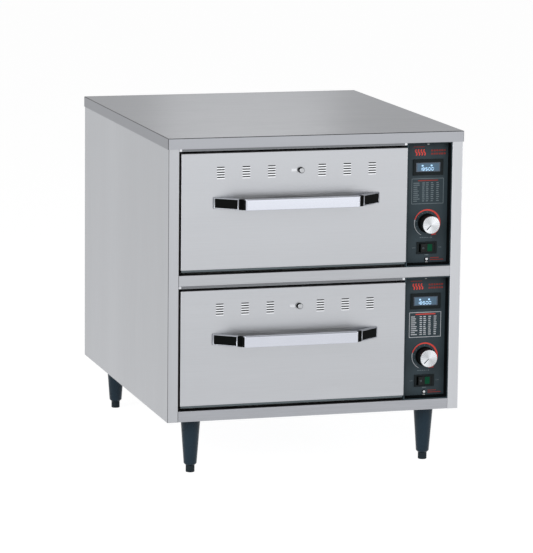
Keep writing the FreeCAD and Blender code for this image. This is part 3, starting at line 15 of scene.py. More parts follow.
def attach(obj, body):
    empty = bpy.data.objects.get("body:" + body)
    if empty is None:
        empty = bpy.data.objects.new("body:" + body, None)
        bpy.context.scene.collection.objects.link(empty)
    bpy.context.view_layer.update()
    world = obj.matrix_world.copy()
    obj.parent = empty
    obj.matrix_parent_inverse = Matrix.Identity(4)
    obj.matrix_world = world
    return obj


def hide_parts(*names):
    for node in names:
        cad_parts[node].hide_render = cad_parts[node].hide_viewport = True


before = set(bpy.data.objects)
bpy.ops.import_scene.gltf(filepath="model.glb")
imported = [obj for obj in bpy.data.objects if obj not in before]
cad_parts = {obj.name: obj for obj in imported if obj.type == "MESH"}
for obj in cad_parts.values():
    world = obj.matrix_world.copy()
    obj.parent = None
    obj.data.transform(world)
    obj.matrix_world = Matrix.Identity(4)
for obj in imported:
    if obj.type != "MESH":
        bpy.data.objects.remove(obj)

MM = 0.001
WELD = 1e-6
PRINT_WELD = 1e-7
log = logging.getLogger("warming_cabinet")

Point = tuple[float, float]
Place = tuple[float, float, float]
Box = tuple[float, float, float, float]
Plane = tuple[int, float]
Colour = tuple[float, float, float, float]
Tree = bpy.types.NodeTree
Node = bpy.types.Node
Socket = bpy.types.NodeSocket
Mesh = bpy.types.Mesh


class Grain(Enum):
    """Direction in which a sheet was brushed, as the axis that it follows."""

    ACROSS = 0
    UPRIGHT = 2


class Level(Enum):
    """The two drawers, by name and by the height of the opening's middle in mm."""

    LOWER = 237.0
    UPPER = 487.0


def metres(*lengths: float) -> tuple[float, ...]:
    """Turn lengths in mm into metres."""
    return tuple(length * MM for length in lengths)


# ---- nodes and colours


def linear(code: str) -> Colour:
    """Turn an sRGB hex colour into linear values.

    Args:
        code: Colour such as "#c8c9cd".

    Returns:
        Linear red, green, blue and full alpha.
    """
    parts = [int(code[i:i + 2], 16) / 255 for i in (1, 3, 5)]
    red, green, blue = (c / 12.92 if c <= 0.04045 else ((c + 0.055) / 1.055) ** 2.4 for c in parts)
    return red, green, blue, 1.0


def wire(tree: Tree, node: Node, inputs: dict) -> None:
    """Set or link inputs of a node.

    Args:
        tree: Tree that holds the node.
        node: The node.
        inputs: Values or output sockets, by the input's name or index.
    """
    for key, value in inputs.items():
        if isinstance(value, Socket):
            tree.links.new(value, node.inputs[key])
        else:
            node.inputs[key].default_value = value


def add_node(tree: Tree, kind: str, inputs: dict | None = None, **settings) -> Node:
    """Add a node, set its properties, and set or link its inputs.

    Args:
        tree: Tree that receives the node.
        kind: Blender's name of the node type.
        inputs: Values or output sockets, by the input's name or index.
        settings: Properties of the node.

    Returns:
        The new node.
    """
    made = tree.nodes.new(kind)
    for name, value in settings.items():
        setattr(made, name, value)
    wire(tree, made, inputs or {})
    return made


def compute(tree: Tree, operation: str, *values: Socket | float) -> Socket:
    """Add a Math node over values or sockets and return its result."""
    return add_node(tree, "ShaderNodeMath", dict(enumerate(values)), operation=operation).outputs[0]


@dataclass
class Canvas:
    """Shader of one material, and the patterns that drive it."""

    tree: Tree
    colour: str
    shader: Node = field(init=False)

    def __post_init__(self) -> None:
        """Empty the tree and put the shader in."""
        self.tree.nodes.clear()
        self.shader = add_node(self.tree, "ShaderNodeBsdfPrincipled", {"Base Color": linear(self.colour)})

    def drive(self, inputs: dict) -> None:
        """Set or link inputs of the shader."""
        wire(self.tree, self.shader, inputs)

    def noise(self, pitch: Sequence[float], detail: float) -> Socket:
        """Noise in object coordinates with its own pitch along each axis.

        Args:
            pitch: Size of the pattern along X, Y and Z in mm.
            detail: Octaves of the noise.

        Returns:
            The noise's value, 0 to 1.
        """
        place = add_node(self.tree, "ShaderNodeTexCoord")
        scaled = add_node(self.tree, "ShaderNodeMapping", {
            "Vector": place.outputs["Object"], "Scale": [1 / (step * MM) for step in pitch]})
        return add_node(self.tree, "ShaderNodeTexNoise", {
            "Vector": scaled.outputs[0], "Scale": 1.0, "Detail": detail, "Roughness": 0.6}).outputs[0]

    def spread(self, value: Socket, low: float, high: float) -> Socket:
        """Stretch a noise's middle range to low and high."""
        return add_node(self.tree, "ShaderNodeMapRange", {
            "Value": value, "From Min": 0.3, "From Max": 0.7, "To Min": low, "To Max": high}).outputs[0]

    def gloss(self, value: Socket, low: float, high: float) -> None:
        """Vary the roughness between low and high."""
        self.drive({"Roughness": self.spread(value, low, high)})

    def tint(self, value: Socket, dark: float, light: float) -> None:
        """Vary the base colour in brightness.

        Args:
            value: Pattern, 0 to 1.
            dark: Share of the colour where the pattern is low.
            light: Share of the colour where the pattern is high.
        """
        low, high = ((*(part * share for part in linear(self.colour)[:3]), 1.0) for share in (dark, light))
        mixed = add_node(self.tree, "ShaderNodeMix", {0: value, 6: low, 7: high}, data_type="RGBA")
        self.drive({"Base Color": mixed.outputs[2]})

    def emboss(self, value: Socket, strength: float, depth: float) -> None:
        """Use a pattern as relief of a strength and of a real depth in mm."""
        bump = add_node(self.tree, "ShaderNodeBump", {
            "Strength": strength, "Distance": depth * MM, "Height": value})
        self.drive({"Normal": bump.outputs[0]})


# ---- finishes


@dataclass(frozen=True)
class Finish:
    """Surface of a piece. Each kind fills its own nodes."""

    title: str
    colour: str
    roughness: float

    def material(self) -> bpy.types.Material:
        """Material of this finish, made once.

        Returns:
            The material.
        """
        made = bpy.data.materials.get(self.title)
        if made is None:
            made = bpy.data.materials.new(self.title)
            made.use_nodes = True
            made.diffuse_color = linear(self.colour)
            canvas = Canvas(made.node_tree, self.colour)
            canvas.drive({"Roughness": self.roughness})
            self.fill(canvas)
            add_node(made.node_tree, "ShaderNodeOutputMaterial", {"Surface": canvas.shader.outputs[0]})
        return made

    def fill(self, canvas: Canvas) -> None:
        """Add the finish's own pattern to its shader."""
        raise NotImplementedError


@dataclass(frozen=True)
class BrushedSteel(Finish):
    """Stainless steel sheet, belt-brushed in one direction.

    The belt leaves parallel hairlines about 0.15 mm apart. They are drawn
    1.4 mm apart, because finer ones vanish in the render. Rolling leaves
    broad soft bands along the same direction. The flat faces lie in known
    planes; on the bends between them the tone is scaled, as a painted
    highlight where the scale is above 1 and a painted dark reflection below 1.
    """

    grain: Grain
    planes: tuple[Plane, ...] = ()
    # Tone on the bends: above 1 a painted highlight, below 1 a painted dark reflection.
    painted_bend_tone: float = 1.0
    # Tint of the reflection at grazing angles; below 1, as on the lid, it is painted shade.
    edge: float = 1.0
    hairline: float = 1.4
    run: float = 90.0
    band: float = 85.0
    band_run: float = 14.0
    contrast: float = 0.025
    band_contrast: float = 0.02
    flat_within: Point = (0.02, 0.12)

    def fill(self, canvas: Canvas) -> None:
        """Hairlines in colour, gloss and relief, over soft bands, and the painted tone of the bends.

        Args:
            canvas: The material's shader.
        """
        tree = canvas.tree
        canvas.drive({"Metallic": 1.0, "Specular Tint": (self.edge, self.edge, self.edge, 1.0)})
        fine = [self.hairline] * 3
        fine[self.grain.value] = self.run
        wide = [self.band] * 3
        wide[self.grain.value] = self.band * self.band_run
        hairs, bands = canvas.noise(fine, 3.0), canvas.noise(wide, 1.0)
        light = compute(tree, "ADD", canvas.spread(hairs, -self.contrast, self.contrast),
                        canvas.spread(bands, -self.band_contrast, self.band_contrast))
        level = compute(tree, "ADD", light, 1.0)
        # Painted highlight or painted dark reflection on the bends, away from the flat planes.
        if self.planes:
            level = compute(tree, "MULTIPLY", level, self.painted_bend_tones(tree))
        # The mix takes 0 to 1, so the level goes in halved and its upper end is twice the colour.
        canvas.tint(compute(tree, "MULTIPLY", level, 0.5), 0.0, 2.0)
        canvas.gloss(hairs, self.roughness - 0.05, self.roughness + 0.06)
        canvas.emboss(hairs, 0.25, 0.04)

    def painted_bend_tones(self, tree: Tree) -> Socket:
        """Painted tone of the bends, which lie in none of the flat planes: a painted highlight above 1 and a
        painted dark reflection below 1.

        Args:
            tree: Tree of the material.

        Returns:
            1 on the flat faces and the painted bend tone elsewhere.
        """
        place = add_node(tree, "ShaderNodeTexCoord")
        parts = add_node(tree, "ShaderNodeSeparateXYZ", {0: place.outputs["Object"]})
        nearest, *others = (compute(tree, "ABSOLUTE", compute(
            tree, "SUBTRACT", parts.outputs[axis], position * MM)) for axis, position in self.planes)
        for other in others:
            nearest = compute(tree, "MINIMUM", nearest, other)
        near, far = metres(*self.flat_within)
        return add_node(tree, "ShaderNodeMapRange", {
            "Value": nearest, "From Min": near, "From Max": far, "To Min": 1.0,
            "To Max": self.painted_bend_tone}).outputs[0]


@dataclass(frozen=True)
class PlatedMetal(Finish):
    """Plated or bare metal without a grain: soft cloudy gloss, faint ripple."""

    cloud: float = 18.0
    contrast: float = 0.05
    ripple: float = 0.05

    def fill(self, canvas: Canvas) -> None:
        """Clouds in colour and gloss, and a shallow ripple.

        Args:
            canvas: The material's shader.
        """
        canvas.drive({"Metallic": 1.0})
        clouds = canvas.noise([self.cloud] * 3, 4.0)
        canvas.tint(clouds, 1.0 - self.contrast, 1.0 + self.contrast)
        canvas.gloss(clouds, self.roughness * 0.92, self.roughness * 1.12)
        canvas.emboss(clouds, 0.3, self.ripple)


@dataclass(frozen=True)
class TurnedMetal(Finish):
    """Aluminium cap, turned and brushed outward from its axis."""

    centre: Point = (0.0, 0.0)
    # The two-fold wave is a painted highlight in two bright and two dark lobes; the fine wave is the turning
    # streaks.
    waves: tuple[Point, ...] = ((2.0, 0.34), (23.0, 0.14))

    def fill(self, canvas: Canvas) -> None:
        """Streaks that follow the angle round the axis, which runs front to back, and a painted highlight:
        two bright and two dark lobes round it.

        Args:
            canvas: The material's shader.
        """
        tree = canvas.tree
        canvas.drive({"Metallic": 1.0})
        across, up = metres(*self.centre)
        place = add_node(tree, "ShaderNodeTexCoord")
        centred = add_node(tree, "ShaderNodeMapping", {
            "Vector": place.outputs["Object"], "Location": (-across, 0.0, -up)})
        split = add_node(tree, "ShaderNodeSeparateXYZ", {0: centred.outputs[0]})
        angle = compute(tree, "ARCTAN2", split.outputs[2], split.outputs[0])
        level = 0.5
        for count, share in self.waves:
            wave = compute(tree, "SINE", compute(tree, "MULTIPLY", angle, count))
            level = compute(tree, "MULTIPLY_ADD", wave, share, level)
        canvas.tint(level, 0.62, 1.15)
        canvas.emboss(level, 0.2, 0.05)


@dataclass(frozen=True)
class Moulded(Finish):
    """Moulded plastic or rubber. The fine matt texture of its tool scatters most of the gloss."""

    bead: float = 1.2
    relief: float = 0.05
    gloss: float = 0.2
    cloud: float = 22.0

    def fill(self, canvas: Canvas) -> None:
        """Tool texture in relief and gloss.

        Args:
            canvas: The material's shader.
        """
        canvas.drive({"IOR": 1.5, "Specular IOR Level": self.gloss})
        grit = canvas.noise([self.bead] * 3, 2.0)
        canvas.tint(canvas.noise([self.cloud] * 3, 2.0), 0.88, 1.12)
        canvas.gloss(grit, self.roughness - 0.06, self.roughness + 0.08)
        canvas.emboss(grit, 0.35, self.relief)


@dataclass(frozen=True)
class PowderCoat(Finish):
    """Powder coating: even colour with a shallow orange peel, which scatters most of the gloss."""

    peel: float = 2.6
    relief: float = 0.08
    gloss: float = 0.3
    mark: float = 35.0

    def fill(self, canvas: Canvas) -> None:
        """Orange peel in relief, with faint handling marks in the gloss.

        Args:
            canvas: The material's shader.
        """
        canvas.drive({"IOR": 1.5, "Specular IOR Level": self.gloss})
        skin, marks = canvas.noise([self.peel] * 3, 1.0), canvas.noise([self.mark] * 3, 3.0)
        canvas.tint(marks, 0.93, 1.07)
        canvas.gloss(marks, self.roughness - 0.05, self.roughness + 0.08)
        canvas.emboss(skin, 0.3, self.relief)


@dataclass(frozen=True)
class PrintedInk(Finish):
    """Screen-printed ink, slightly uneven in cover."""

    fleck: float = 1.6

    def fill(self, canvas: Canvas) -> None:
        """Uneven cover.

        Args:
            canvas: The material's shader.
        """
        cover = canvas.noise([self.fleck] * 3, 2.0)
        canvas.tint(cover, 0.86, 1.08)
        canvas.emboss(cover, 0.2, 0.02)


@dataclass(frozen=True)
class LitSegment(Finish):
    """Lit parts of a display behind its window, with the display's dot pitch."""

    glow: float = 0.6
    dot: float = 0.8

    def fill(self, canvas: Canvas) -> None:
        """Dots and own light."""
        canvas.tint(canvas.noise([self.dot] * 3, 0.0), 0.85, 1.1)
        canvas.drive({"Emission Color": linear(self.colour), "Emission Strength": self.glow})


@dataclass(frozen=True)
class TintedAcrylic(Finish):
    """Cast acrylic, tinted, with a hard gloss over a faintly uneven tint."""

    coat: float = 0.6
    gloss: float = 0.5
    cloud: Place = (9.0, 9.0, 5.0)

    def fill(self, canvas: Canvas) -> None:
        """Hard gloss and an uneven tint."""
        canvas.drive({"IOR": 1.49, "Specular IOR Level": self.gloss, "Coat Weight": self.coat,
                      "Coat Roughness": 0.06})
        canvas.tint(canvas.noise(self.cloud, 1.0), 0.85, 1.15)


@dataclass(frozen=True)
class MineralWool(Finish):
    """Pressed mineral wool board: matt, with short tangled fibres laid mostly flat."""

    fibre: Place = (9.0, 2.0, 1.6)

    def fill(self, canvas: Canvas) -> None:
        """Fibres in colour and relief.

        Args:
            canvas: The material's shader.
        """
        fibres = canvas.noise(self.fibre, 5.0)
        canvas.tint(fibres, 0.7, 1.2)
        canvas.emboss(fibres, 0.9, 0.8)


def box_planes(node: str) -> tuple[Plane, ...]:
    """Planes of the six outermost faces of a CAD node, in mm."""
    corners = [corner.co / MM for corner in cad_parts[node].data.vertices]
    return tuple((axis, end(corner[axis] for corner in corners)) for axis in range(3) for end in (min, max))


# Planes of the flat sheets. The rails' flat faces end at these heights.
RAIL_HEIGHTS = (102.0, 122.0, 352.0, 372.0, 602.0)
RAIL_PLANES = (*box_planes("bottom_rail"), *((2, height) for height in RAIL_HEIGHTS))
FRONT_PLANES = (*box_planes("lower_drawer_front"), *box_planes("upper_drawer_front")[4:])
SIDE_PLANES = (*box_planes("left_side_panel"), *box_planes("right_side_panel")[:2])
LID_PLANES = box_planes("top_cover")

# Brushed 304 stainless steel, No. 4 finish: satin, with hairlines along the sheet's grain.
STEEL_ACROSS = BrushedSteel("stainless_brushed_across", "#acaeb2", 0.34, Grain.ACROSS)
# The number after the planes is the painted bend tone: above 1 a painted highlight on the bends, below 1 a
# painted dark reflection.
STEEL_RAIL = BrushedSteel("stainless_brushed_rail", "#aeb0b4", 0.36, Grain.ACROSS, RAIL_PLANES, 1.3,
                          contrast=0.05)
# Darker copy of the rail steel for the bottom rail: painted shade.
STEEL_FOOT_RAIL_SHADED = BrushedSteel("stainless_brushed_foot_rail", "#a2a4a9", 0.36, Grain.ACROSS, RAIL_PLANES, 1.3,
                               contrast=0.06)
STEEL_FRONT = BrushedSteel("stainless_brushed_front", "#b6b8bc", 0.34, Grain.ACROSS, FRONT_PLANES, 1.35)
STEEL_SIDE = BrushedSteel("stainless_brushed_side", "#b2b4b8", 0.38, Grain.UPRIGHT, SIDE_PLANES, 0.2,
                          band=170.0, band_contrast=0.035)
# Lighter copy of the side steel for the right panel and its stile: painted light.
STEEL_STILE_LIT = BrushedSteel("stainless_brushed_stile", "#bfc1c5", 0.38, Grain.UPRIGHT, SIDE_PLANES, 1.35,
                           band=170.0, band_contrast=0.035)
# The lid's darker colour and its dimmer edge tint are painted shade: the top is darker because of how light
# falls on it.
STEEL_LID_SHADED = BrushedSteel("stainless_brushed_lid", "#a1a3a8", 0.33, Grain.ACROSS, LID_PLANES, 0.25, edge=0.72,
                         band=150.0)
# Stainless of the pans, frames and shutters, brighter and less worked: 2B mill finish.
STEEL_MILL = PlatedMetal("stainless_mill_finish", "#b4b6b9", 0.36, cloud=90.0, contrast=0.015, ripple=0.008)
# Aluminised steel of the bay walls: spangled, dull.
LINER = PlatedMetal("aluminised_steel", "#9fa1a1", 0.46, cloud=7.0, contrast=0.1)
# Galvanised liner behind each drawer front, darker: painted shade on its lip, which sits in shadow below the
# front.
LINER_SHADED = PlatedMetal("galvanised_liner_steel", "#5d6569", 0.5, cloud=9.0, contrast=0.08)
# Grey sheet over the stop strips above the drawers: painted shade, where the strip sits in the shadow of the
# rail.
STRIP_SHADED = PlatedMetal("rolled_steel_strip", "#75777b", 0.45, cloud=12.0, contrast=0.06)
# Bright chrome on cast zinc: mirror gloss, with the faint ripple of the casting below.
CHROME = PlatedMetal("chrome_plated_zinc", "#c9ccd5", 0.16, cloud=26.0, contrast=0.03)
# The same plating on the cast brackets, left as cast under it: greyer and softer.
CHROME_SATIN = PlatedMetal("satin_chrome_plated_zinc", "#9a9da3", 0.3, cloud=26.0, contrast=0.03)
# Bright strip under each punched slot: painted highlight on the slot's lower edge.
SLOT_HIGHLIGHT = PlatedMetal("polished_cut_edge", "#eceef1", 0.3, cloud=3.0)
# Bright zinc plating on the slides and fasteners: bluish, slightly cloudy.
ZINC = PlatedMetal("zinc_plated_steel", "#a9adb3", 0.32, cloud=5.0, contrast=0.08)
# Nickel-plated screw heads.
NICKEL = PlatedMetal("nickel_plated_screw", "#8d8f90", 0.3, cloud=2.0)
# Nickel-alloy element sheath, browned by heat.
SHEATH = PlatedMetal("heated_alloy_sheath", "#5b534c", 0.5, cloud=12.0, contrast=0.2)
# Push buttons, drawer stops and the shutters' plates behind their tracks: bright aluminium.
BUTTON = PlatedMetal("polished_aluminium", "#cbcdd1", 0.24, cloud=3.0)
# Black ABS with a spark-eroded matt face.
PLASTIC = Moulded("moulded_black_abs", "#101415", 0.45)
# Matt black rubber of the collars, the handle's insets and the dial skirts. The same black, as painted shade,
# rings the shutter knobs and lies behind the vent slots.
BLACK_RUBBER_AND_SHADE = Moulded("matt_black_rubber", "#070909", 0.6, gloss=0.06)
# Matt black sheet on the walls of the control recess: painted shade.
RECESS_SHADE = Moulded("black_foam_gasket", "#0b1012", 0.8, bead=0.9, relief=0.1, gloss=0.05)
# Glossier black of the switch bezel and the display bezel.
BEZEL = Moulded("moulded_black_polycarbonate", "#151e21", 0.35, bead=1.6, relief=0.02, gloss=0.15)
# Dark blue-grey powder coat of the control panels.
PANEL = PowderCoat("powder_coat_slate", "#37454c", 0.5)
# Cast legs under a smoother, bluer powder coat.
LEG = PowderCoat("powder_coat_leg", "#253845", 0.28, peel=3.4, gloss=0.18)
# Moulded rubber sole of the levelling feet.
RUBBER = Moulded("moulded_rubber", "#1d282e", 0.62, bead=1.0)
# Insulation board.
WOOL = MineralWool("mineral_wool_board", "#a39c84", 0.9)
# Display window and what is lit behind it.
WINDOW = TintedAcrylic("tinted_acrylic_window", "#3a5068", 0.12)
LIT = LitSegment("display_segment_lit", "#b4dcff", 0.4, glow=0.6)
BACKLIT = LitSegment("display_backlit_field", "#4a667c", 0.4, glow=0.3)
# Lens of each rocker, unlit.
LENS_GREEN = TintedAcrylic("green_rocker_lens", "#065236", 0.35, coat=0.0, gloss=0.1)
# Screen-printing inks.
INK_RED = PrintedInk("ink_red", "#ff5246", 0.5)
INK_DULL_RED = PrintedInk("ink_dull_red", "#a0352f", 0.6)
INK_WHITE = PrintedInk("ink_white", "#dfe4ea", 0.5)
INK_GREY = PrintedInk("ink_grey", "#78868d", 0.6)
# Paint rubbed into the dial's groove.
PAINT_DARK = PrintedInk("pointer_paint", "#4b5055", 0.5)


# ---- shapes


def rounded(middle: Point, width: float, height: float, radius: float, steps: int = 6) -> list[Point]:
    """Rectangle with round corners.

    Args:
        middle: Its middle.
        width: Size across.
        height: Size upright.
        radius: Corner radius.
        steps: Points of each corner after its first.

    Returns:
        Its outline, counterclockwise.
    """
    points = []
    for turn, (side, rise) in enumerate(((1, 1), (-1, 1), (-1, -1), (1, -1))):
        corner = (middle[0] + side * (width / 2 - radius), middle[1] + rise * (height / 2 - radius))
        for step in range(steps + 1):
            angle = (turn + step / steps) * pi / 2
            points.append((corner[0] + radius * cos(angle), corner[1] + radius * sin(angle)))
    return points


def polar(middle: Point, radius: float, angle: float) -> Point:
    """Point at a radius and at an angle in degrees from the right."""
    return middle[0] + radius * cos(radians(angle)), middle[1] + radius * sin(radians(angle))


def arc(middle: Point, radius: float, start: float, end: float, steps: int) -> list[Point]:
    """Points along an arc, with its angles in degrees from the right."""
    return [polar(middle, radius, start + (end - start) * k / steps) for k in range(steps + 1)]


def circle(middle: Point, radius: float, sides: int) -> list[Point]:
    """Points round a circle, counterclockwise."""
    return arc(middle, radius, 0, 360 - 360 / sides, sides - 1)


def upright(middle: Point, depth: float) -> Matrix:
    """Stand a flat shape up, facing forward, at a point of the plane at a depth in mm."""
    return Matrix.Translation(metres(middle[0], depth, middle[1])) @ Matrix.Rotation(pi / 2, 4, "X")


class Relief:
    """Flat shapes that stand a little proud of one upright face, as one closed mesh.

    Ink is really about 0.03 mm thick. It is drawn thicker, so that the edges hold.
    """

    def __init__(self, face: float, rise: float) -> None:
        """Start with nothing on the face.

        Args:
            face: Depth coordinate of the face that carries the shapes, in mm.
            rise: How far they stand before it, in mm.
        """
        self.depths = (face - rise, face)
        self.shape = bmesh.new()

    def _vertices(self, outline: Iterable[Point], depth: float) -> list[bmesh.types.BMVert]:
        """Vertices of an outline at one depth."""
        return [self.shape.verts.new(metres(x, depth, z)) for x, z in outline]

    def _walls(self, faces: Iterable[Sequence[bmesh.types.BMVert]]) -> None:
        """Add faces over vertices that are there already."""
        for corners in faces:
            self.shape.faces.new(corners)

    def slab(self, outline: Sequence[Point]) -> None:
        """Add one filled shape.

        Args:
            outline: Its outline, counterclockwise.
        """
        front, back = (self._vertices(outline, depth) for depth in self.depths)
        self._walls((front, back[::-1]))
        self._walls((corner, back[k], back[(k + 1) % len(back)], front[(k + 1) % len(front)])
                    for k, corner in enumerate(front))

    def bars(self, origin: Point, *boxes: Box) -> None:
        """Add rectangles, each given by its left, right, low and high from an origin."""
        for left, right, low, high in boxes:
            self.slab([(origin[0] + x, origin[1] + z)
                       for x, z in ((left, low), (right, low), (right, high), (left, high))])

    def ring(self, outer: Sequence[Point], inner: Sequence[Point]) -> None:
        """Add a closed band between two outlines with as many points each.

        Args:
            outer: Outer outline, counterclockwise.
            inner: Inner outline, counterclockwise.
        """
        loops = [self._vertices(line, depth) for depth in self.depths for line in (outer, inner)]
        for here in range(len(outer)):
            (a, b, c, d), (e, f, g, h) = ([loop[k % len(outer)] for loop in loops] for k in (here, here + 1))
            self._walls(((a, e, f, b), (g, c, d, h), (e, a, c, g), (b, f, h, d)))

    def ribbon(self, line: Sequence[Point], widths: Sequence[float]) -> None:
        """Add a stroke along a line.

        Args:
            line: Points along its middle.
            widths: Its width at each point.
        """
        left, right = [], []
        for k, (x, z) in enumerate(line):
            ahead, behind = line[min(k + 1, len(line) - 1)], line[max(k - 1, 0)]
            along = Vector((ahead[0] - behind[0], ahead[1] - behind[1])).normalized()
            half = widths[k] / 2
            left.append((x - along.y * half, z + along.x * half))
            right.append((x + along.y * half, z - along.x * half))
        rows = list(zip(*(self._vertices(side, depth) for depth in self.depths for side in (left, right))))
        (a, b, c, d), (e, f, g, h) = rows[0], rows[-1]
        self._walls(((b, a, c, d), (e, f, h, g)))
        for (a, b, c, d), (e, f, g, h) in zip(rows, rows[1:]):
            self._walls(((b, f, e, a), (h, d, c, g), (a, e, g, c), (f, b, d, h)))

    def letters(self, text: str, height: float, middle: Point) -> None:
        """Add a word in plain letters.

        Args:
            text: The word.
            height: Height of its letters.
            middle: Middle of the word.
        """
        near, far = self.depths
        curve = bpy.data.curves.new("letters", "FONT")
        curve.body, curve.size = text, height * 1.4
        curve.align_x, curve.align_y = "CENTER", "CENTER"
        curve.extrude, curve.resolution_u = (far - near) / 2, 3
        flat = evaluated(bpy.data.objects.new("letters", curve))
        flat.transform(upright(middle, (near + far) / 2) @ Matrix.Scale(MM, 4))
        self.shape.from_mesh(flat)
        bpy.data.meshes.remove(flat)

    def mesh(self, name: str) -> Mesh:
        """Close the collection.

        Args:
            name: Name of the mesh.

        Returns:
            The mesh.
        """
        bmesh.ops.remove_doubles(self.shape, verts=self.shape.verts, dist=PRINT_WELD)
        return stored(name, self.shape)


# ---- pieces


def stored(name: str, shape: bmesh.types.BMesh) -> Mesh:
    """Keep a working shape as a new mesh and free it.

    Args:
        name: Name of the mesh.
        shape: The working shape.

    Returns:
        The mesh.
    """
    made = bpy.data.meshes.new(name)
    shape.to_mesh(made)
    shape.free()
    return made


def evaluated(holder: bpy.types.Object) -> Mesh:
    """Keep what an object looks like as a mesh and drop the object.

    Args:
        holder: Text, or a mesh with its modifiers.

    Returns:
        The mesh.
    """
    bpy.context.scene.collection.objects.link(holder)
    made = bpy.data.meshes.new_from_object(holder.evaluated_get(bpy.context.evaluated_depsgraph_get()))
    bpy.data.objects.remove(holder)
    return made


def joined(name: str, parts: Sequence[Mesh]) -> Mesh:
    """Join meshes into a new one and drop them.

    Args:
        name: Name of the new mesh.
        parts: The meshes.

    Returns:
        The joined mesh.
    """
    shape = bmesh.new()
    for part in parts:
        shape.from_mesh(part)
        bpy.data.meshes.remove(part)
    return stored(name, shape)


def add_piece(name: str, mesh: Mesh, body: str, finish: Finish,
              replaced: Sequence[str] = ()) -> None:
    """Put a finished mesh in the scene and let it ride on its body.

    Args:
        name: Name of the piece.
        mesh: Its mesh, in place.
        body: CAD body that carries it.
        finish: Its finish.
        replaced: CAD nodes that it stands for.
    """
    made = bpy.data.objects.new(name, mesh)
    mesh.materials.clear()
    mesh.materials.append(finish.material())
    bpy.context.scene.collection.objects.link(made)
    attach(made, body)
    if replaced:
        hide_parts(*replaced)
    log.info("%s rides on %s, %d faces", name, body, len(mesh.polygons))


def dress(finish: Finish, *nodes: str) -> None:
    """Give CAD nodes their finish.

    Args:
        finish: The finish.
        nodes: Names of the nodes.
    """
    for node in nodes:
        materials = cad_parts[node].data.materials
        materials.clear()
        materials.append(finish.material())
        log.info("%s dressed in %s", node, finish.title)


def rounded_copy(node: str, body: str, finish: Finish, sharp: float = 32.0) -> None:
    """Stand in for a CAD node with its own shape, welded and smoothly shaded.

    Args:
        node: Name of the node.
        body: CAD body that carries it.
        finish: Its finish.
        sharp: Angle in degrees from which an edge stays crisp.
    """
    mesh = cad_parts[node].data.copy()
    welded = bmesh.new()
    welded.from_mesh(mesh)
    bmesh.ops.remove_doubles(welded, verts=welded.verts, dist=WELD)
    welded.to_mesh(mesh)
    welded.free()
    mesh.shade_smooth()
    mesh.set_sharp_from_angle(angle=radians(sharp))
    holder = bpy.data.objects.new("holder", mesh)
    holder.modifiers.new("weighted", "WEIGHTED_NORMAL").keep_sharp = True
    shaded = evaluated(holder)
    shaded.name = f"{node}_rounded"
    add_piece(f"{node}_rounded", shaded, body, finish, (node,))


# ---- geometry node trees


@dataclass
class Growth:
    """Geometry Nodes tree that repeats one small shape, with named inputs for its sizes."""

    name: str
    inputs: dict[str, str]
    tree: Tree = field(init=False)
    source: Node = field(init=False)

    def __post_init__(self) -> None:
        """Make the tree with its inputs and its output."""
        self.tree = bpy.data.node_groups.new(self.name, "GeometryNodeTree")
        self.tree.is_modifier = True
        face = self.tree.interface
        for label, kind in {"Geometry": "Geometry", **self.inputs, "Material": "Material"}.items():
            face.new_socket(label, in_out="INPUT", socket_type=f"NodeSocket{kind}")
        face.new_socket("Geometry", in_out="OUTPUT", socket_type="NodeSocketGeometry")
        self.source = self.tree.nodes.new("NodeGroupInput")

    def add(self, kind: str, inputs: dict | None = None, **settings) -> Socket:
        """Add a node, where a text stands for the tree's input of that name, and return its first output."""
        given = {key: self.source.outputs[value] if isinstance(value, str) else value
                 for key, value in (inputs or {}).items()}
        return add_node(self.tree, kind, given, **settings).outputs[0]

    def vector(self, *parts: Socket | str | float) -> Socket:
        """Join three values, sockets or names of inputs to a vector."""
        return self.add("ShaderNodeCombineXYZ", dict(enumerate(parts)))

    def compute(self, operation: str, *values: Socket | str | float) -> Socket:
        """Add a Math node over values, sockets or names of inputs."""
        return self.add("ShaderNodeMath", dict(enumerate(values)), operation=operation)

    def cube(self, *sizes: Socket | str | float) -> Socket:
        """Box of three sizes round the origin."""
        return self.add("GeometryNodeMeshCube", {"Size": self.vector(*sizes)})

    def scatter(self, points: Socket | str, shape: Socket, more: dict | None = None) -> Socket:
        """Put a shape on each point, with more inputs such as its scale."""
        return self.add("GeometryNodeInstanceOnPoints", {"Points": points, "Instance": shape, **(more or {})})

    def end(self, instances: Socket) -> None:
        """Make the instances real, give them the material, and close the tree."""
        painted = self.add("GeometryNodeSetMaterial", {
            "Geometry": self.add("GeometryNodeRealizeInstances", {0: instances}), "Material": "Material"})
        add_node(self.tree, "NodeGroupOutput", {"Geometry": painted})

    def grow(self, finish: Finish, lengths: dict[str, float], others: dict | None = None,
             places: Iterable[Place] = ((0.0, 0.0, 0.0),)) -> Mesh:
        """Evaluate the tree and keep its result as a plain mesh.

        Args:
            finish: Finish of the result.
            lengths: Lengths among the inputs, in mm.
            others: The other inputs.
            places: Points of the mesh that the tree starts from, in mm.

        Returns:
            The mesh.
        """
        seeds = bpy.data.meshes.new(self.name)
        seeds.from_pydata([metres(*place) for place in places], [], [])
        holder = bpy.data.objects.new(self.name, seeds)
        modifier = holder.modifiers.new(self.name, "NODES")
        modifier.node_group = self.tree
        given = {**{label: length * MM for label, length in lengths.items()}, **(others or {}),
                 "Material": finish.material()}
        for item in self.tree.interface.items_tree:
            if item.item_type == "SOCKET" and item.in_out == "INPUT" and item.name in given:
                modifier[item.identifier] = given[item.name]
        made = evaluated(holder)
        bpy.data.meshes.remove(seeds)
        return made


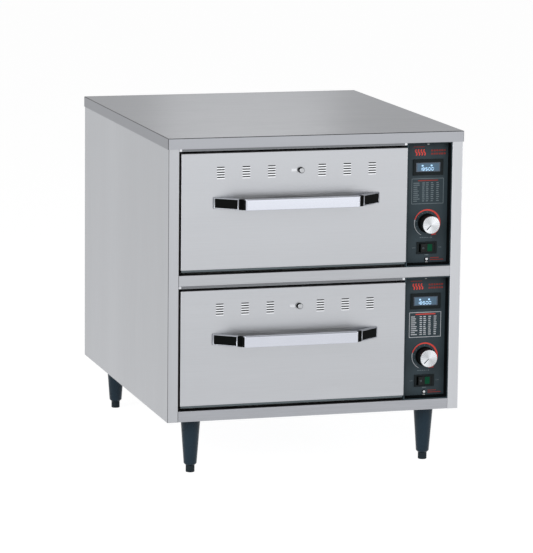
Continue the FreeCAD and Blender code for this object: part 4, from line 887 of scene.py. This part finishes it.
@cache
def screw_tree() -> Growth:
    """Pan-head screws with a cross recess, one at each point.

    Returns:
        The tree.
    """
    grown = Growth("cross_recess_screws", {
        "Head Radius": "Float", "Head Height": "Float", "Recess Width": "Float", "Recess Span": "Float",
        "Turn": "Rotation"})
    # Dome: the part of a flattened ball that a cylinder of the head's size keeps.
    ball = grown.add("GeometryNodeMeshUVSphere", {"Segments": 32, "Rings": 16, "Radius": "Head Radius"})
    flat = grown.add("GeometryNodeTransform", {"Geometry": ball, "Scale": grown.vector(
        1.25, 1.25, grown.compute("DIVIDE", "Head Height", "Head Radius"))})
    drum = grown.add("GeometryNodeMeshCylinder", {
        "Vertices": 28, "Radius": "Head Radius", "Depth": grown.compute("MULTIPLY", "Head Height", 2.2)})
    raised = grown.add("GeometryNodeTransform", {"Geometry": drum, "Translation": grown.vector(
        0, 0, grown.compute("MULTIPLY", "Head Height", 1.1))})
    dome = add_node(grown.tree, "GeometryNodeMeshBoolean", operation="INTERSECT")
    for part in (flat, raised):
        grown.tree.links.new(part, dome.inputs["Mesh 2"])
    head = add_node(grown.tree, "GeometryNodeMeshBoolean", {"Mesh 1": dome.outputs[0]},
                    operation="DIFFERENCE")
    for across, up in (("Recess Span", "Recess Width"), ("Recess Width", "Recess Span")):
        cut = grown.add("GeometryNodeTransform", {
            "Geometry": grown.cube(across, up, "Head Height"),
            "Translation": grown.vector(0, 0, "Head Height")})
        grown.tree.links.new(cut, head.inputs["Mesh 2"])
    grown.end(grown.scatter("Geometry", head.outputs[0], {"Rotation": "Turn"}))
    return grown


@cache
def tick_tree() -> Growth:
    """Ticks that point at the middle of an arc.

    Returns:
        The tree.
    """
    grown = Growth("dial_ticks", {
        "Count": "Int", "Radius": "Float", "Start": "Float", "Sweep": "Float",
        "Length": "Float", "Width": "Float", "Rise": "Float"})
    line = grown.add("GeometryNodeCurveArc", {
        "Resolution": "Count", "Radius": "Radius", "Start Angle": "Start", "Sweep Angle": "Sweep"})
    points = grown.add("GeometryNodeCurveToPoints", {"Curve": line}, mode="EVALUATED")
    turned = grown.add("FunctionNodeAlignRotationToVector", {
        "Vector": grown.add("GeometryNodeInputPosition")}, axis="X")
    grown.end(grown.scatter(points, grown.cube("Length", "Width", "Rise"), {"Rotation": turned}))
    return grown


@cache
def chart_tree() -> Growth:
    """Rows of short marks of uneven length under each given point, as in a printed table.

    Returns:
        The tree.
    """
    grown = Growth("chart_marks", {
        "Rows": "Int", "Pitch": "Float", "Mark Length": "Float", "Mark Height": "Float", "Rise": "Float",
        "Least": "Vector", "Seed": "Int"})
    line = grown.add("GeometryNodeMeshLine", {"Count": "Rows", "Offset": grown.vector(0, "Pitch", 0)})
    # The columns are made real first, so that each of their points carries one mark.
    table = grown.add("GeometryNodeRealizeInstances", {0: grown.scatter("Geometry", line)})
    half = grown.compute("MULTIPLY", "Mark Length", 0.5)
    mark = grown.add("GeometryNodeTransform", {
        "Geometry": grown.cube("Mark Length", "Mark Height", "Rise"),
        "Translation": grown.vector(half, 0, 0)})
    share = grown.add("FunctionNodeRandomValue", {"Min": "Least", "Max": (1.0, 1.0, 1.0), "Seed": "Seed"},
                      data_type="FLOAT_VECTOR")
    grown.end(grown.scatter(table, mark, {"Scale": share}))
    return grown


@cache
def bar_tree() -> Growth:
    """Row of flat bars from each point, such as ribs or slots.

    Returns:
        The tree.
    """
    grown = Growth("bar_rows", {
        "Count": "Int", "Step": "Vector", "Width": "Float", "Depth": "Float", "Height": "Float",
        "Turn": "Rotation"})
    line = grown.add("GeometryNodeMeshLine", {"Count": "Count", "Offset": "Step"})
    # The rows are made real first, so that each of their points carries one bar.
    rows = grown.add("GeometryNodeRealizeInstances", {0: grown.scatter("Geometry", line)})
    grown.end(grown.scatter(rows, grown.cube("Width", "Depth", "Height"), {"Rotation": "Turn"}))
    return grown


# ---- sub-assemblies


@dataclass
class Shell:
    """Outer sheets and everything fixed inside them."""

    def build(self) -> None:
        """Dress the sheets, each with its own grain, and the fixed inner parts."""
        dress(STEEL_SIDE, "left_side_panel")
        dress(STEEL_STILE_LIT, "right_side_panel")
        dress(STEEL_LID_SHADED, "top_cover")
        dress(STEEL_RAIL, "header_rail", "middle_rail")
        dress(STEEL_FOOT_RAIL_SHADED, "bottom_rail")
        dress(STEEL_ACROSS, "rear_panel", "base_pan")
        dress(LINER, "bay_liner", "partition_wall", "bay_floors")
        dress(ZINC, "element_supports", "slide_outer_members", "leg_plates", "thermostats")
        dress(WOOL, "bay_insulation")
        dress(PLASTIC, "terminal_block")
        rounded_copy("heating_elements", "cabinet", SHEATH)
        rounded_copy("cord_gland", "cabinet", PLASTIC)


@dataclass
class Legs:
    """Four coated legs on levelling feet."""

    corners: tuple[str, ...] = ("front_left", "front_right", "rear_left", "rear_right")
    sharp: float = 24.0

    def build(self) -> None:
        """Round off the legs and the feet."""
        rounded_copy("legs", "cabinet", LEG, self.sharp)
        for corner in self.corners:
            rounded_copy(f"{corner}_foot", f"{corner}_foot", RUBBER)


@dataclass
class PanelScrews:
    """Screws of the control panels and of the rear panel."""

    radius: float = 2.3
    height: float = 1.6
    recess_width: float = 0.7
    recess_span: float = 2.9

    def build(self) -> None:
        """Grow the heads over the screws' own places."""
        heads = self.places(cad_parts["panel_screws"].data)
        sizes = {"Head Radius": self.radius, "Head Height": self.height,
                 "Recess Width": self.recess_width, "Recess Span": self.recess_span}
        rows = [screw_tree().grow(NICKEL, sizes, {"Turn": (-pi / 2 if rear else pi / 2, 0.0, 0.0)}, [
            place for place in heads if (place[1] > 0) == rear]) for rear in (False, True)]
        add_piece("panel_screw_heads", joined("panel_screw_heads", rows), "cabinet", NICKEL,
                  ("panel_screws",))

    def places(self, mesh: Mesh) -> list[Place]:
        """Middle of each head's seat, found from the CAD screws.

        Args:
            mesh: Mesh of the CAD screws.

        Returns:
            Points in mm.
        """
        shape = bmesh.new()
        shape.from_mesh(mesh)
        bmesh.ops.remove_doubles(shape, verts=shape.verts, dist=WELD)
        left, found = set(shape.verts), []
        while left:
            island, todo = set(), [next(iter(left))]
            while todo:
                vertex = todo.pop()
                if vertex not in island:
                    island.add(vertex)
                    todo += [edge.other_vert(vertex) for edge in vertex.link_edges]
            left -= island
            xs, ys, zs = ([vertex.co[axis] / MM for vertex in island] for axis in range(3))
            seat = max(ys) - self.height if min(ys) > 0 else min(ys) + self.height
            found.append(((min(xs) + max(xs)) / 2, seat, (min(zs) + max(zs)) / 2))
        shape.free()
        return sorted(found)


@dataclass
class Tier:
    """What belongs to one of the two drawers, with names that start with its level."""

    level: Level

    def name(self, part: str) -> str:
        """Full name of a piece, node or body of this level."""
        return f"{self.level.name.lower()}_{part}"

    def smooth(self, node: str, body: str, finish: Finish, slot: str, sharp: float = 32.0) -> None:
        """Stand in for a node of this level, which rides on a body of this level."""
        rounded_copy(self.name(node), self.name(body), finish, sharp)

    def put(self, part: str, relief: Relief, finish: Finish, body: str | None = None) -> None:
        """Add a relief as a piece that rides on a body of this level, or else on the cabinet."""
        name, carrier = self.name(part), self.name(body) if body else "cabinet"
        add_piece(name, relief.mesh(name), carrier, finish)


@dataclass
class ControlPanel(Tier):
    """Printed control panel with its display, dial, switch and button.

    Places on it are given from the control axis and from the opening's middle.
    """

    bright_chart: bool
    face: float = -293.0
    axis: float = 218.0
    ink: float = 0.12
    recess: Box = (174.4, 257.1, -110.9, 113.3)
    recess_front: float = -310.0
    shade_gauge: float = 0.5
    shade_gap: float = 0.1
    symbol_spot: Point = (-15.2, 94.5)
    symbol_height: float = 11.2
    waves: tuple[float, ...] = (-8.0, -2.7, 2.6, 7.9)
    wave_swing: float = 1.5
    wave_width: float = 2.3
    wave_steps: int = 16
    symbol_rule: Box = (-14.0, 8.0, 9.6, 10.8)
    blocks_left: float = 5.6
    block: Point = (3.6, 3.2)
    block_pitch: float = 4.9
    block_rows: Point = (1.4, -4.6)
    block_count: int = 6
    display_rise: float = 67.0
    display_face: float = -294.4
    display_field: Place = (42.0, 13.6, 1.0)
    field_rise: float = 0.06
    digit_rise: float = 0.1
    digits: tuple[str, ...] = ("0110000", "1111111", "1011011", "1111110", "1111110")
    digits_corner: Point = (-17.0, -5.8)
    digit: Point = (4.2, 4.8)
    digit_gap: float = 1.6
    stroke: float = 1.4
    stroke_gap: float = 0.25
    display_marks: Point = (-11.0, 6.5)
    mark_rise: float = 2.9
    mark: Place = (3.6, 3.0, 0.8)
    chart_rise: float = 22.4
    chart_size: Point = (62.4, 47.6)
    chart_border: float = 1.1
    chart_corners: Point = (1.0, 0.4)
    title_shares: Point = (-0.3, 0.32)
    title_rise: Point = (-5.0, -3.1)
    chart_head: float = 8.6
    chart_rows: int = 10
    chart_pitch: float = 3.7
    chart_words: Point = (15.0, 1.7)
    chart_margin: float = 3.6
    chart_numbers: Point = (5.6, 1.9)
    chart_columns: tuple[float, ...] = (-10.5, -3.2, 6.4, 17.0)
    dial_drop: float = 37.0
    dial_face: float = -319.0
    groove_sink: float = 0.5
    groove_fit: float = 0.1
    groove_turn: float = 225.0
    groove: Place = (0.8, 12.0, 1.9)
    skirt_radius: float = 17.8
    skirt_depth: float = 4.0
    skirt_gap: float = 0.4
    scale_radius: float = 24.4
    cool_scale: tuple[float, float, int, float, float] = (243.0, 164.0, 20, 0.8, 0.7)
    hot_scale: tuple[float, float, int, float, float] = (163.0, -50.0, 48, 1.6, 2.7)
    arrow_tip: float = -70.0
    arrow_half: float = 4.2
    tick: Point = (2.0, 0.9)
    tick_count: int = 11
    tick_radius: float = 20.6
    tick_start: float = -45.0
    tick_sweep: float = 270.0
    foot_drop: float = 64.0
    foot_marks: tuple[Point, ...] = ((-13.5, -10.4), (-9.2, -6.2), (-5.0, -1.6), (-0.4, 2.8), (4.0, 5.8))
    foot_mark_half: float = 0.6
    foot_arrow: tuple[Point, ...] = ((10.6, 0.0), (7.4, 1.8), (7.4, -1.8))
    rocker_pivot: float = -290.0
    rocker_rise: float = 4.954
    rocker_tilt: float = 16.0
    rocker_sharp: float = 20.0
    hinge: float = 0.7
    lens_across: float = 5.8
    lens: Place = (9.2, 13.4, 0.8)
    lens_rise: float = 0.3
    sign_across: float = -8.6
    sign_radii: Point = (1.7, 1.1)
    sign_rise: float = 0.15
    switch_drop: float = 83.0
    switch_words: tuple[tuple[str, float], ...] = (("OFF", -25.0), ("ON", 26.0))
    word_height: float = 2.6
    button_drop: float = 104.5
    button_radii: Point = (4.1, 3.05)
    ring_rise: float = 0.5
    button_rules: tuple[Box, ...] = ((7.5, 33.0, -2.0, -0.5), (7.5, 24.0, 1.6, 3.1))
    button_label: Box = (-3.6, 3.8, 7.4, 8.9)

    def spot(self, across: float, rise: float) -> Point:
        """Point on the panel, from the control axis and the opening's middle."""
        return self.axis + across, self.level.value + rise

    def sheet(self) -> Relief:
        """New print on the panel's face."""
        return Relief(self.face, self.ink)

    def build(self) -> None:
        """Build the prints and dress the fittings."""
        dress(PANEL, self.name("control_panel"))
        self.recess_shade()
        self.symbol()
        self.display()
        self.chart()
        self.dial()
        self.scale()
        self.switch()
        self.button()

    def recess_shade(self) -> None:
        """Black sheet on the walls of the recess, right, left, below and above: painted shade."""
        left, right, low, high = self.recess
        near_left, near_right = left + self.shade_gauge, right - self.shade_gauge
        back = self.face - self.shade_gap
        strip = Relief(back, back - self.recess_front)
        strip.bars((0.0, self.level.value), (near_right, right, low, high), (left, near_left, low, high),
                   (near_left, near_right, low, low + self.shade_gauge),
                   (near_left, near_right, high - self.shade_gauge, high))
        self.put("recess_gasket", strip, RECESS_SHADE)

    def symbol(self) -> None:
        """Rising-heat symbol under a plain rule, and two rows of blank blocks beside it."""
        across, up = self.spot(*self.symbol_spot)
        red = self.sheet()
        for shift in self.waves:
            red.ribbon([(across + shift + self.wave_swing * sin(2 * pi * k / self.wave_steps),
                         up + self.symbol_height * (k / self.wave_steps - 0.5))
                        for k in range(self.wave_steps + 1)], [self.wave_width] * (self.wave_steps + 1))
        self.put("heading_symbol", red, INK_RED)
        dull = self.sheet()
        dull.bars((across, up), self.symbol_rule)
        width, height = self.block
        dull.bars(self.spot(self.blocks_left, self.symbol_spot[1]), *(
            (k * self.block_pitch, k * self.block_pitch + width, low, low + height)
            for low in self.block_rows for k in range(self.block_count)))
        self.put("heading_rules", dull, INK_DULL_RED)

    def display(self) -> None:
        """Lit digits low on a backlit window, with two marks above them."""
        across, up = self.spot(0.0, self.display_rise)
        left, low = self.digits_corner
        lit, backlit = (Relief(self.display_face, rise) for rise in (self.digit_rise, self.field_rise))
        for place, shape in enumerate(self.digits):
            corner = (across + left + place * (self.digit[0] + self.digit_gap), up + low)
            self.segments(lit, corner, shape)
        for shift in self.display_marks:
            lit.slab(rounded((across + shift, up + self.mark_rise), *self.mark))
        self.put("display_digits", lit, LIT)
        backlit.slab(rounded((across, up), *self.display_field))
        self.put("display_field", backlit, BACKLIT)

    def segments(self, relief: Relief, corner: Point, lit: str) -> None:
        """Add the lit segments of one digit, as bars with pointed ends.

        Args:
            relief: Print that receives them.
            corner: Lower left corner of the digit.
            lit: A 1 for each lit segment: top, upper right, lower right, foot,
                lower left, upper left, middle.
        """
        (x, z), (width, height), half, gap = corner, self.digit, self.stroke / 2, self.stroke_gap
        right, waist = x + width, z + height / 2
        starts = ((x, z + height, False), (right, waist, True), (right, z, True), (x, z, False),
                  (x, z, True), (x, waist, True), (x, waist, False))
        for on, (left, low, rises) in zip(lit, starts):
            end = (height / 2 if rises else width) - gap
            outline = ((gap, 0.0), (gap + half, -half), (end - half, -half), (end, 0.0),
                       (end - half, half), (gap + half, half))
            if on == "1":
                relief.slab([(left - side, low + along) if rises else (left + along, low + side)
                             for along, side in outline])

    def chart(self) -> None:
        """Printed table: frame, title rule, and blank marks in the places of words and numbers."""
        tone, heading, seed = (INK_WHITE, INK_RED, 3) if self.bright_chart else (INK_GREY, INK_DULL_RED, 8)
        middle = self.spot(0.0, self.chart_rise)
        width, height = self.chart_size
        border, title = self.sheet(), self.sheet()
        border.ring(*(rounded(middle, width - inset, height - inset, corner)
                      for inset, corner in zip((0.0, 2 * self.chart_border), self.chart_corners)))
        self.put("chart_frame", border, tone)
        top = middle[1] + height / 2
        title.bars((middle[0], top), (*(width * share for share in self.title_shares), *self.title_rise))
        self.put("chart_title", title, heading)
        # Each kind of mark has its sizes, the least share that is left of them, and its columns.
        kinds = ((self.chart_words, (0.45, 1.0, 1.0), (self.chart_margin - width / 2,)),
                 (self.chart_numbers, (0.7, 0.8, 1.0), self.chart_columns))
        marks = joined(self.name("chart_marks"), [chart_tree().grow(
            tone, {"Pitch": self.chart_pitch, "Rise": self.ink, "Mark Length": across, "Mark Height": up},
            {"Rows": self.chart_rows, "Seed": seed, "Least": least},
            [(column, 0.0, 0.0) for column in columns]) for (across, up), least, columns in kinds])
        first = top - self.chart_head - (self.chart_rows - 1) * self.chart_pitch
        marks.transform(upright((middle[0], first), self.face - self.ink / 2))
        add_piece(self.name("chart_marks"), marks, "cabinet", tone)

    def dial(self) -> None:
        """Knob, cap, skirt, and the paint in the cap's groove, which points down to the left at rest."""
        middle = self.spot(0.0, -self.dial_drop)
        self.smooth("knob", "dial", PLASTIC, "black_plastic")
        # Turned aluminium, whose streaks and painted highlight lobes run round this dial's own axis.
        cap = TurnedMetal(f"turned_aluminium_{self.level.name.lower()}", "#d9dce0", 0.24, middle)
        self.smooth("knob_cap", "dial", cap, "chrome")
        skirt = Relief(self.face - self.skirt_gap, self.skirt_depth)
        skirt.slab(circle(middle, self.skirt_radius, 48))
        self.put("dial_skirt", skirt, BLACK_RUBBER_AND_SHADE, "dial")
        (start, length, width), fit = self.groove, self.groove_fit
        paint = Relief(self.dial_face + self.groove_sink, self.groove_sink - fit)
        paint.ribbon([polar(middle, reach, self.groove_turn)
                      for reach in (start + fit, start + length - fit)], [width - fit] * 2)
        self.put("dial_pointer", paint, PAINT_DARK, "dial")

    def scale(self) -> None:
        """Printed scale that swells from cool to hot, its ticks, and the marks below it."""
        middle = self.spot(0.0, -self.dial_drop)
        cool, hot, foot = self.sheet(), self.sheet(), self.sheet()
        for band, (start, end, steps, thin, swell) in ((cool, self.cool_scale), (hot, self.hot_scale)):
            band.ribbon(arc(middle, self.scale_radius, start, end, steps),
                        [thin + swell * k / steps for k in range(steps + 1)])
        hot.slab([polar(middle, self.scale_radius, self.arrow_tip),
                  *(polar(middle, self.scale_radius + half, self.hot_scale[1])
                    for half in (self.arrow_half, -self.arrow_half))])
        self.put("dial_scale_cool", cool, INK_WHITE)
        self.put("dial_scale_hot", hot, INK_RED)
        ticks = tick_tree().grow(
            INK_GREY, {"Radius": self.tick_radius, "Length": self.tick[0], "Width": self.tick[1],
                       "Rise": self.ink},
            {"Count": self.tick_count, "Start": radians(self.tick_start), "Sweep": radians(self.tick_sweep)})
        ticks.transform(upright(middle, self.face - self.ink / 2))
        add_piece(self.name("dial_ticks"), ticks, "cabinet", INK_GREY)
        low = self.spot(0.0, -self.foot_drop)
        foot.bars(low, *((*ends, -self.foot_mark_half, self.foot_mark_half) for ends in self.foot_marks))
        foot.slab([(low[0] + x, low[1] + z) for x, z in self.foot_arrow])
        self.put("dial_foot_marks", foot, INK_GREY)

    def switch(self) -> None:
        """Rocker with a circle on its left half and a green lens on its right.

        The right half lies parallel to the panel at rest, and the left half leans out of it.
        """
        self.smooth("rocker", "rocker", PLASTIC, "black_plastic", self.rocker_sharp)
        names = self.sheet()
        for text, across in self.switch_words:
            names.letters(text, self.word_height, self.spot(across, -self.switch_drop))
        self.put("switch_words", names, INK_GREY)
        skin = self.rocker_pivot - self.rocker_rise
        lens = Relief(skin, self.lens_rise)
        lens.slab(rounded(self.spot(self.lens_across, -self.switch_drop), *self.lens))
        self.put("rocker_lens", lens, LENS_GREEN, "rocker")
        mark = Relief(0.0, self.sign_rise)
        mark.ring(*(circle((self.sign_across, 0.0), radius, 24) for radius in self.sign_radii))
        sign = mark.mesh(self.name("rocker_sign"))
        across, up = self.spot(self.hinge, -self.switch_drop)
        sign.transform(Matrix.Translation(metres(across, skin, up))
                       @ Matrix.Rotation(radians(self.rocker_tilt), 4, "Z"))
        add_piece(self.name("rocker_sign"), sign, self.name("rocker"), INK_GREY)

    def button(self) -> None:
        """Push button in its dark ring, under a short label and beside two plain rules."""
        self.smooth("button", "button", BUTTON, "chrome")
        middle = self.spot(0.0, -self.button_drop)
        ring, note, label = Relief(self.face, self.ring_rise), self.sheet(), self.sheet()
        ring.ring(*(circle(middle, radius, 16) for radius in self.button_radii))
        self.put("button_ring", ring, PLASTIC)
        note.bars(middle, *self.button_rules)
        self.put("button_rules", note, INK_DULL_RED)
        label.bars(middle, self.button_label)
        self.put("button_label", label, INK_GREY)


@dataclass
class Drawer(Tier):
    """Drawer with its front, handle, vents, slides and pan."""

    trim: float = -39.25
    face: float = -312.0
    handle_drop: float = 16.5
    grip_half: float = 108.5
    grip_middle: float = 37.5
    grip_rear: float = 32.0
    grip_height: float = 20.0
    back_inset: Point = (6.0, 3.0)
    back_gauge: float = 0.6
    back_sink: float = 0.5
    back_corner: float = 2.0
    crest: Point = (115.4, 27.4)
    ribs: int = 3
    rib: Place = (1.3, 8.0, 19.0)
    vent_rise: float = 71.5
    vent_columns: tuple[int, ...] = (-3, -2, -1, 1, 2, 3)
    vent_pitch: float = 47.7
    slot: Point = (14.0, 1.9)
    slot_rows: tuple[int, ...] = (-2, -1, 0, 1, 2)
    slot_pitch: float = 4.6
    overlap: Point = (0.6, 0.8)
    slot_shade_gauge: float = 0.1
    slot_shade_gap: float = 0.15
    glint: float = 1.5
    glint_gauge: float = 0.3
    glint_stand: float = 0.1
    glint_gap: float = 0.2
    knob_shift: float = 7.5
    knob_radius: float = 4.5
    knob_shade_wall: float = 0.8
    knob_shade_fit: float = 0.1
    knob_shade_gap: float = 0.5
    knob_shade_length: float = 4.6
    plate: Place = (44.0, 8.0, 1.5)
    plate_gauge: float = 0.12
    plate_gap: float = 0.03
    plate_face: float = -310.5
    strip_face: float = -308.5
    strip_rise: float = 110.5
    strip_height: float = 4.4
    strip_ends: Point = (-258.7, 172.0)
    strip_gauge: float = 0.25
    strip_foot: float = 0.2
    stop: float = 5.0
    stop_gauge: float = 0.6
    stop_inset: Point = (0.4, 0.5)
    stop_corner: float = 1.2

    def build(self) -> None:
        """Dress the drawer and build its small fittings."""
        for finish, nodes in ((STEEL_FRONT, ("drawer_front",)), (LINER_SHADED, ("drawer_liner",)),
                              (WOOL, ("front_insulation",)), (STEEL_MILL, ("drawer_frame",)),
                              (ZINC, ("slide_inner_members", "slide_middle_members")),
                              (BLACK_RUBBER_AND_SHADE, ("handle_insets",))):
            dress(finish, *(self.name(node) for node in nodes))
        self.smooth("food_pan", "drawer", STEEL_MILL, "stainless")
        self.smooth("vent_shutter", "vent_shutter", STEEL_MILL, "stainless")
        self.smooth("handle_grip", "drawer", CHROME, "chrome")
        self.smooth("handle_brackets", "drawer", CHROME_SATIN, "chrome")
        self.collars()
        self.grip_back()
        self.stop_strip()
        self.vents()
        self.shutter_knob()

    def bars(self, finish: Finish, size: Place, others: dict, places: Iterable[Place]) -> Mesh:
        """Grow bars of one size in rows from the given places."""
        return bar_tree().grow(finish, dict(zip(("Width", "Depth", "Height"), size)), others, places)

    def collars(self) -> None:
        """Ribs across the collars, which slope from the grip to the brackets."""
        start = Vector((self.grip_half, self.face - self.grip_middle))
        end = Vector((self.crest[0], self.face - self.crest[1]))
        step = (end - start) / (self.ribs + 1)
        slope = -Vector((1.0, 0.0)).angle_signed(step)
        up = self.level.value + self.handle_drop
        rows = [self.bars(BLACK_RUBBER_AND_SHADE, self.rib, {
            "Count": self.ribs, "Step": metres(side * step.x, step.y, 0.0), "Turn": (0.0, 0.0, side * slope)},
            [(self.trim + side * (start.x + step.x), start.y + step.y, up)]) for side in (-1, 1)]
        name = self.name("collar_ribs")
        add_piece(name, joined(name, rows), self.name("drawer"), BLACK_RUBBER_AND_SHADE)

    def vents(self) -> None:
        """Black sheet behind the shutter's slots as painted shade, and a bright strip below each slot as
        painted highlight.

        The black sheet rides with the shutter, so a closed vent shows bare plate.
        """
        width, height = self.slot[0] + self.overlap[0], self.slot[1] + self.overlap[1]
        slot_shade = (width, self.slot_shade_gauge, height), self.plate_face - self.slot_shade_gap, 0.0
        glint = ((width, self.glint_gauge, self.glint), self.face - self.glint_stand,
               self.slot[1] / 2 + self.glint_gap + self.glint / 2)
        for part, body, finish, (size, depth, drop) in (
                ("vent_gauze", "vent_shutter", BLACK_RUBBER_AND_SHADE, slot_shade), ("vent_lips", "drawer", SLOT_HIGHLIGHT, glint)):
            up = self.level.value + self.vent_rise - drop
            bars = self.bars(finish, size, {"Count": 1}, [
                (self.trim + column * self.vent_pitch, depth, up + row * self.slot_pitch)
                for column in self.vent_columns for row in self.slot_rows])
            add_piece(self.name(part), bars, self.name(body), finish)

    def shutter_knob(self) -> None:
        """Black ring round the shutter's knob, as painted shade, and the plate that its track shows."""
        middle = (self.trim + self.knob_shift, self.level.value + self.vent_rise)
        knob_shade = Relief(self.face - self.knob_shade_gap, self.knob_shade_length)
        knob_shade.ring(*(circle(middle, self.knob_radius + wall, 30)
                      for wall in (self.knob_shade_wall, -self.knob_shade_fit)))
        self.put("shutter_sleeve", knob_shade, BLACK_RUBBER_AND_SHADE, "vent_shutter")
        plate = Relief(self.plate_face - self.plate_gap, self.plate_gauge)
        plate.slab(rounded(middle, *self.plate))
        self.put("shutter_plate", plate, BUTTON, "vent_shutter")

    def grip_back(self) -> None:
        """Black plate that closes the hollow back of the cast grip."""
        across, up = self.back_inset
        plate = Relief(self.face - self.grip_rear + self.back_sink, self.back_gauge)
        plate.slab(rounded((self.trim, self.level.value + self.handle_drop), 2 * self.grip_half - across,
                           self.grip_height - up, self.back_corner))
        self.put("grip_back", plate, PLASTIC, "drawer")

    def stop_strip(self) -> None:
        """Grey sheet over the rolled strip that hangs over the drawer, as painted shade, with a bright stop
        at each end.
        """
        (left, right), height = self.strip_ends, self.strip_height
        low = self.level.value + self.strip_rise
        face, ends = (Relief(self.strip_face, gauge) for gauge in (self.strip_gauge, self.stop_gauge))
        # Grey sheet over the strip: painted shade.
        face.bars((0.0, low), (left + self.stop, right - self.stop, self.strip_foot, height))
        self.put("stop_strip_face", face, STRIP_SHADED)
        across, up = self.stop_inset
        for middle in (left + self.stop / 2, right - self.stop / 2):
            ends.slab(rounded((middle, low + height / 2), self.stop - across, height - up, self.stop_corner))
        self.put("drawer_stops", ends, BUTTON)


@dataclass(frozen=True)
class Lamp:
    """Large soft lamp aimed at the cabinet, with its place and size in mm and its power in watts."""

    name: str
    place: Place
    size: Point
    power: float
    aim: Place = (0.0, 0.0, 300.0)

    def build(self) -> None:
        """Hang the lamp and turn it to what it lights."""
        light = bpy.data.lights.new(self.name, "AREA")
        light.shape, light.energy = "RECTANGLE", self.power
        light.size, light.size_y = metres(*self.size)
        holder = bpy.data.objects.new(self.name, light)
        bpy.context.scene.collection.objects.link(holder)
        holder.location = metres(*self.place)
        way = Vector(metres(*self.aim)) - holder.location
        holder.rotation_euler = way.to_track_quat("-Z", "Y").to_euler()


@dataclass
class Studio:
    """Pale floor, soft light and the camera."""

    lamps: tuple[Lamp, ...] = (
        Lamp("key", (-1500, -2300, 2200), (3000, 2400), 46.0),
        Lamp("front", (700, -3000, 450), (2000, 800), 2.6),
        Lamp("right", (2600, -1500, 1000), (500, 1700), 14.0),
        Lamp("left", (-2600, -1000, 1150), (500, 1500), 12.0),
        Lamp("lid", (330, 1300, 1050), (400, 350), 0.4))
    eye: Place = (-1747.07, -5916.61, 1382.50)
    target: Place = (2.229, 17.0, 305.418)
    roll: float = 0.610
    sensor: float = 36.0
    focal_pixels: float = 3267.0
    long_side: float = 553.0
    sky: float = 0.55
    ceiling: float = 0.35
    floor_half: float = 60000.0
    floor_tone: str = "#8c8c8c"
    floor_glow: float = 0.9

    def build(self) -> None:
        """Set up the view, the world, the floor, the lamps and the camera."""
        scene = bpy.context.scene
        scene.view_settings.view_transform = "Standard"
        self.world(scene)
        self.floor()
        for lamp in self.lamps:
            lamp.build()
        self.camera(scene)

    def seen(self, tree: Tree) -> Socket:
        """Share of camera, mirror and see-through rays, as a switch.

        Args:
            tree: Tree that receives the nodes.

        Returns:
            1 for those rays and 0 for the rest.
        """
        path = add_node(tree, "ShaderNodeLightPath")
        first = compute(tree, "ADD", path.outputs["Is Camera Ray"], path.outputs["Is Glossy Ray"])
        return add_node(tree, "ShaderNodeMath", {0: first, 1: path.outputs["Is Transmission Ray"]},
                        operation="ADD", use_clamp=True).outputs[0]

    def world(self, scene: bpy.types.Scene) -> None:
        """White all round under a grey ceiling, softer as a light.

        Args:
            scene: The scene.
        """
        world = bpy.data.worlds.new("studio")
        world.use_nodes = True
        scene.world = world
        tree = world.node_tree
        tree.nodes.clear()
        level = add_node(tree, "ShaderNodeMapRange", {
            "Value": self.seen(tree), "To Min": self.sky, "To Max": 1.0})
        direction = add_node(tree, "ShaderNodeTexCoord")
        upward = add_node(tree, "ShaderNodeSeparateXYZ", {0: direction.outputs["Generated"]})
        room = add_node(tree, "ShaderNodeMapRange", {
            "Value": upward.outputs[2], "From Min": 0.35, "From Max": 0.8, "To Min": 1.0,
            "To Max": self.ceiling}, interpolation_type="SMOOTHSTEP")
        back = add_node(tree, "ShaderNodeBackground", {
            "Color": (1.0, 1.0, 1.0, 1.0),
            "Strength": compute(tree, "MULTIPLY", level.outputs[0], room.outputs[0])})
        add_node(tree, "ShaderNodeOutputWorld", {"Surface": back.outputs[0]})

    def floor(self) -> None:
        """Plain white floor that keeps a soft shadow."""
        half = self.floor_half
        mesh = bpy.data.meshes.new("floor")
        mesh.from_pydata([metres(x * half, y * half, 0) for x, y in ((-1, -1), (1, -1), (1, 1), (-1, 1))],
                         [], [(0, 1, 2, 3)])
        ground = bpy.data.objects.new("floor", mesh)
        bpy.context.scene.collection.objects.link(ground)
        paint = bpy.data.materials.new("floor_white")
        paint.use_nodes = True
        tree = paint.node_tree
        tree.nodes.clear()
        matt = add_node(tree, "ShaderNodeBsdfDiffuse", {"Color": linear(self.floor_tone)})
        glow = add_node(tree, "ShaderNodeEmission", {
            "Strength": compute(tree, "MULTIPLY", self.seen(tree), self.floor_glow)})
        both = add_node(tree, "ShaderNodeAddShader", {0: matt.outputs[0], 1: glow.outputs[0]})
        add_node(tree, "ShaderNodeOutputMaterial", {"Surface": both.outputs[0]})
        mesh.materials.append(paint)

    def camera(self, scene: bpy.types.Scene) -> None:
        """Long lens from the front left, a little above.

        Args:
            scene: The scene.
        """
        data = bpy.data.cameras.new("camera")
        data.sensor_width = self.sensor
        data.lens = self.focal_pixels * self.sensor / self.long_side
        data.clip_start, data.clip_end = 0.1, 200.0
        eye = bpy.data.objects.new("camera", data)
        scene.collection.objects.link(eye)
        aim = Vector(self.target) - Vector(self.eye)
        eye.matrix_world = (Matrix.Translation(metres(*self.eye))
                            @ aim.to_track_quat("-Z", "Y").to_matrix().to_4x4()
                            @ Matrix.Rotation(radians(self.roll), 4, "Z"))
        scene.camera = eye


def main() -> None:
    """Build every sub-assembly in order."""
    logging.basicConfig(level=logging.INFO, format="%(message)s")
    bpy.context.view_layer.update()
    Studio().build()
    Shell().build()
    Legs().build()
    PanelScrews().build()
    dress(BEZEL, "display_bezels", "switch_housings")
    dress(WINDOW, "display_lenses")
    for level in Level:
        ControlPanel(level, bright_chart=level is Level.LOWER).build()
        Drawer(level).build()


if __name__ == "__main__":
    main()
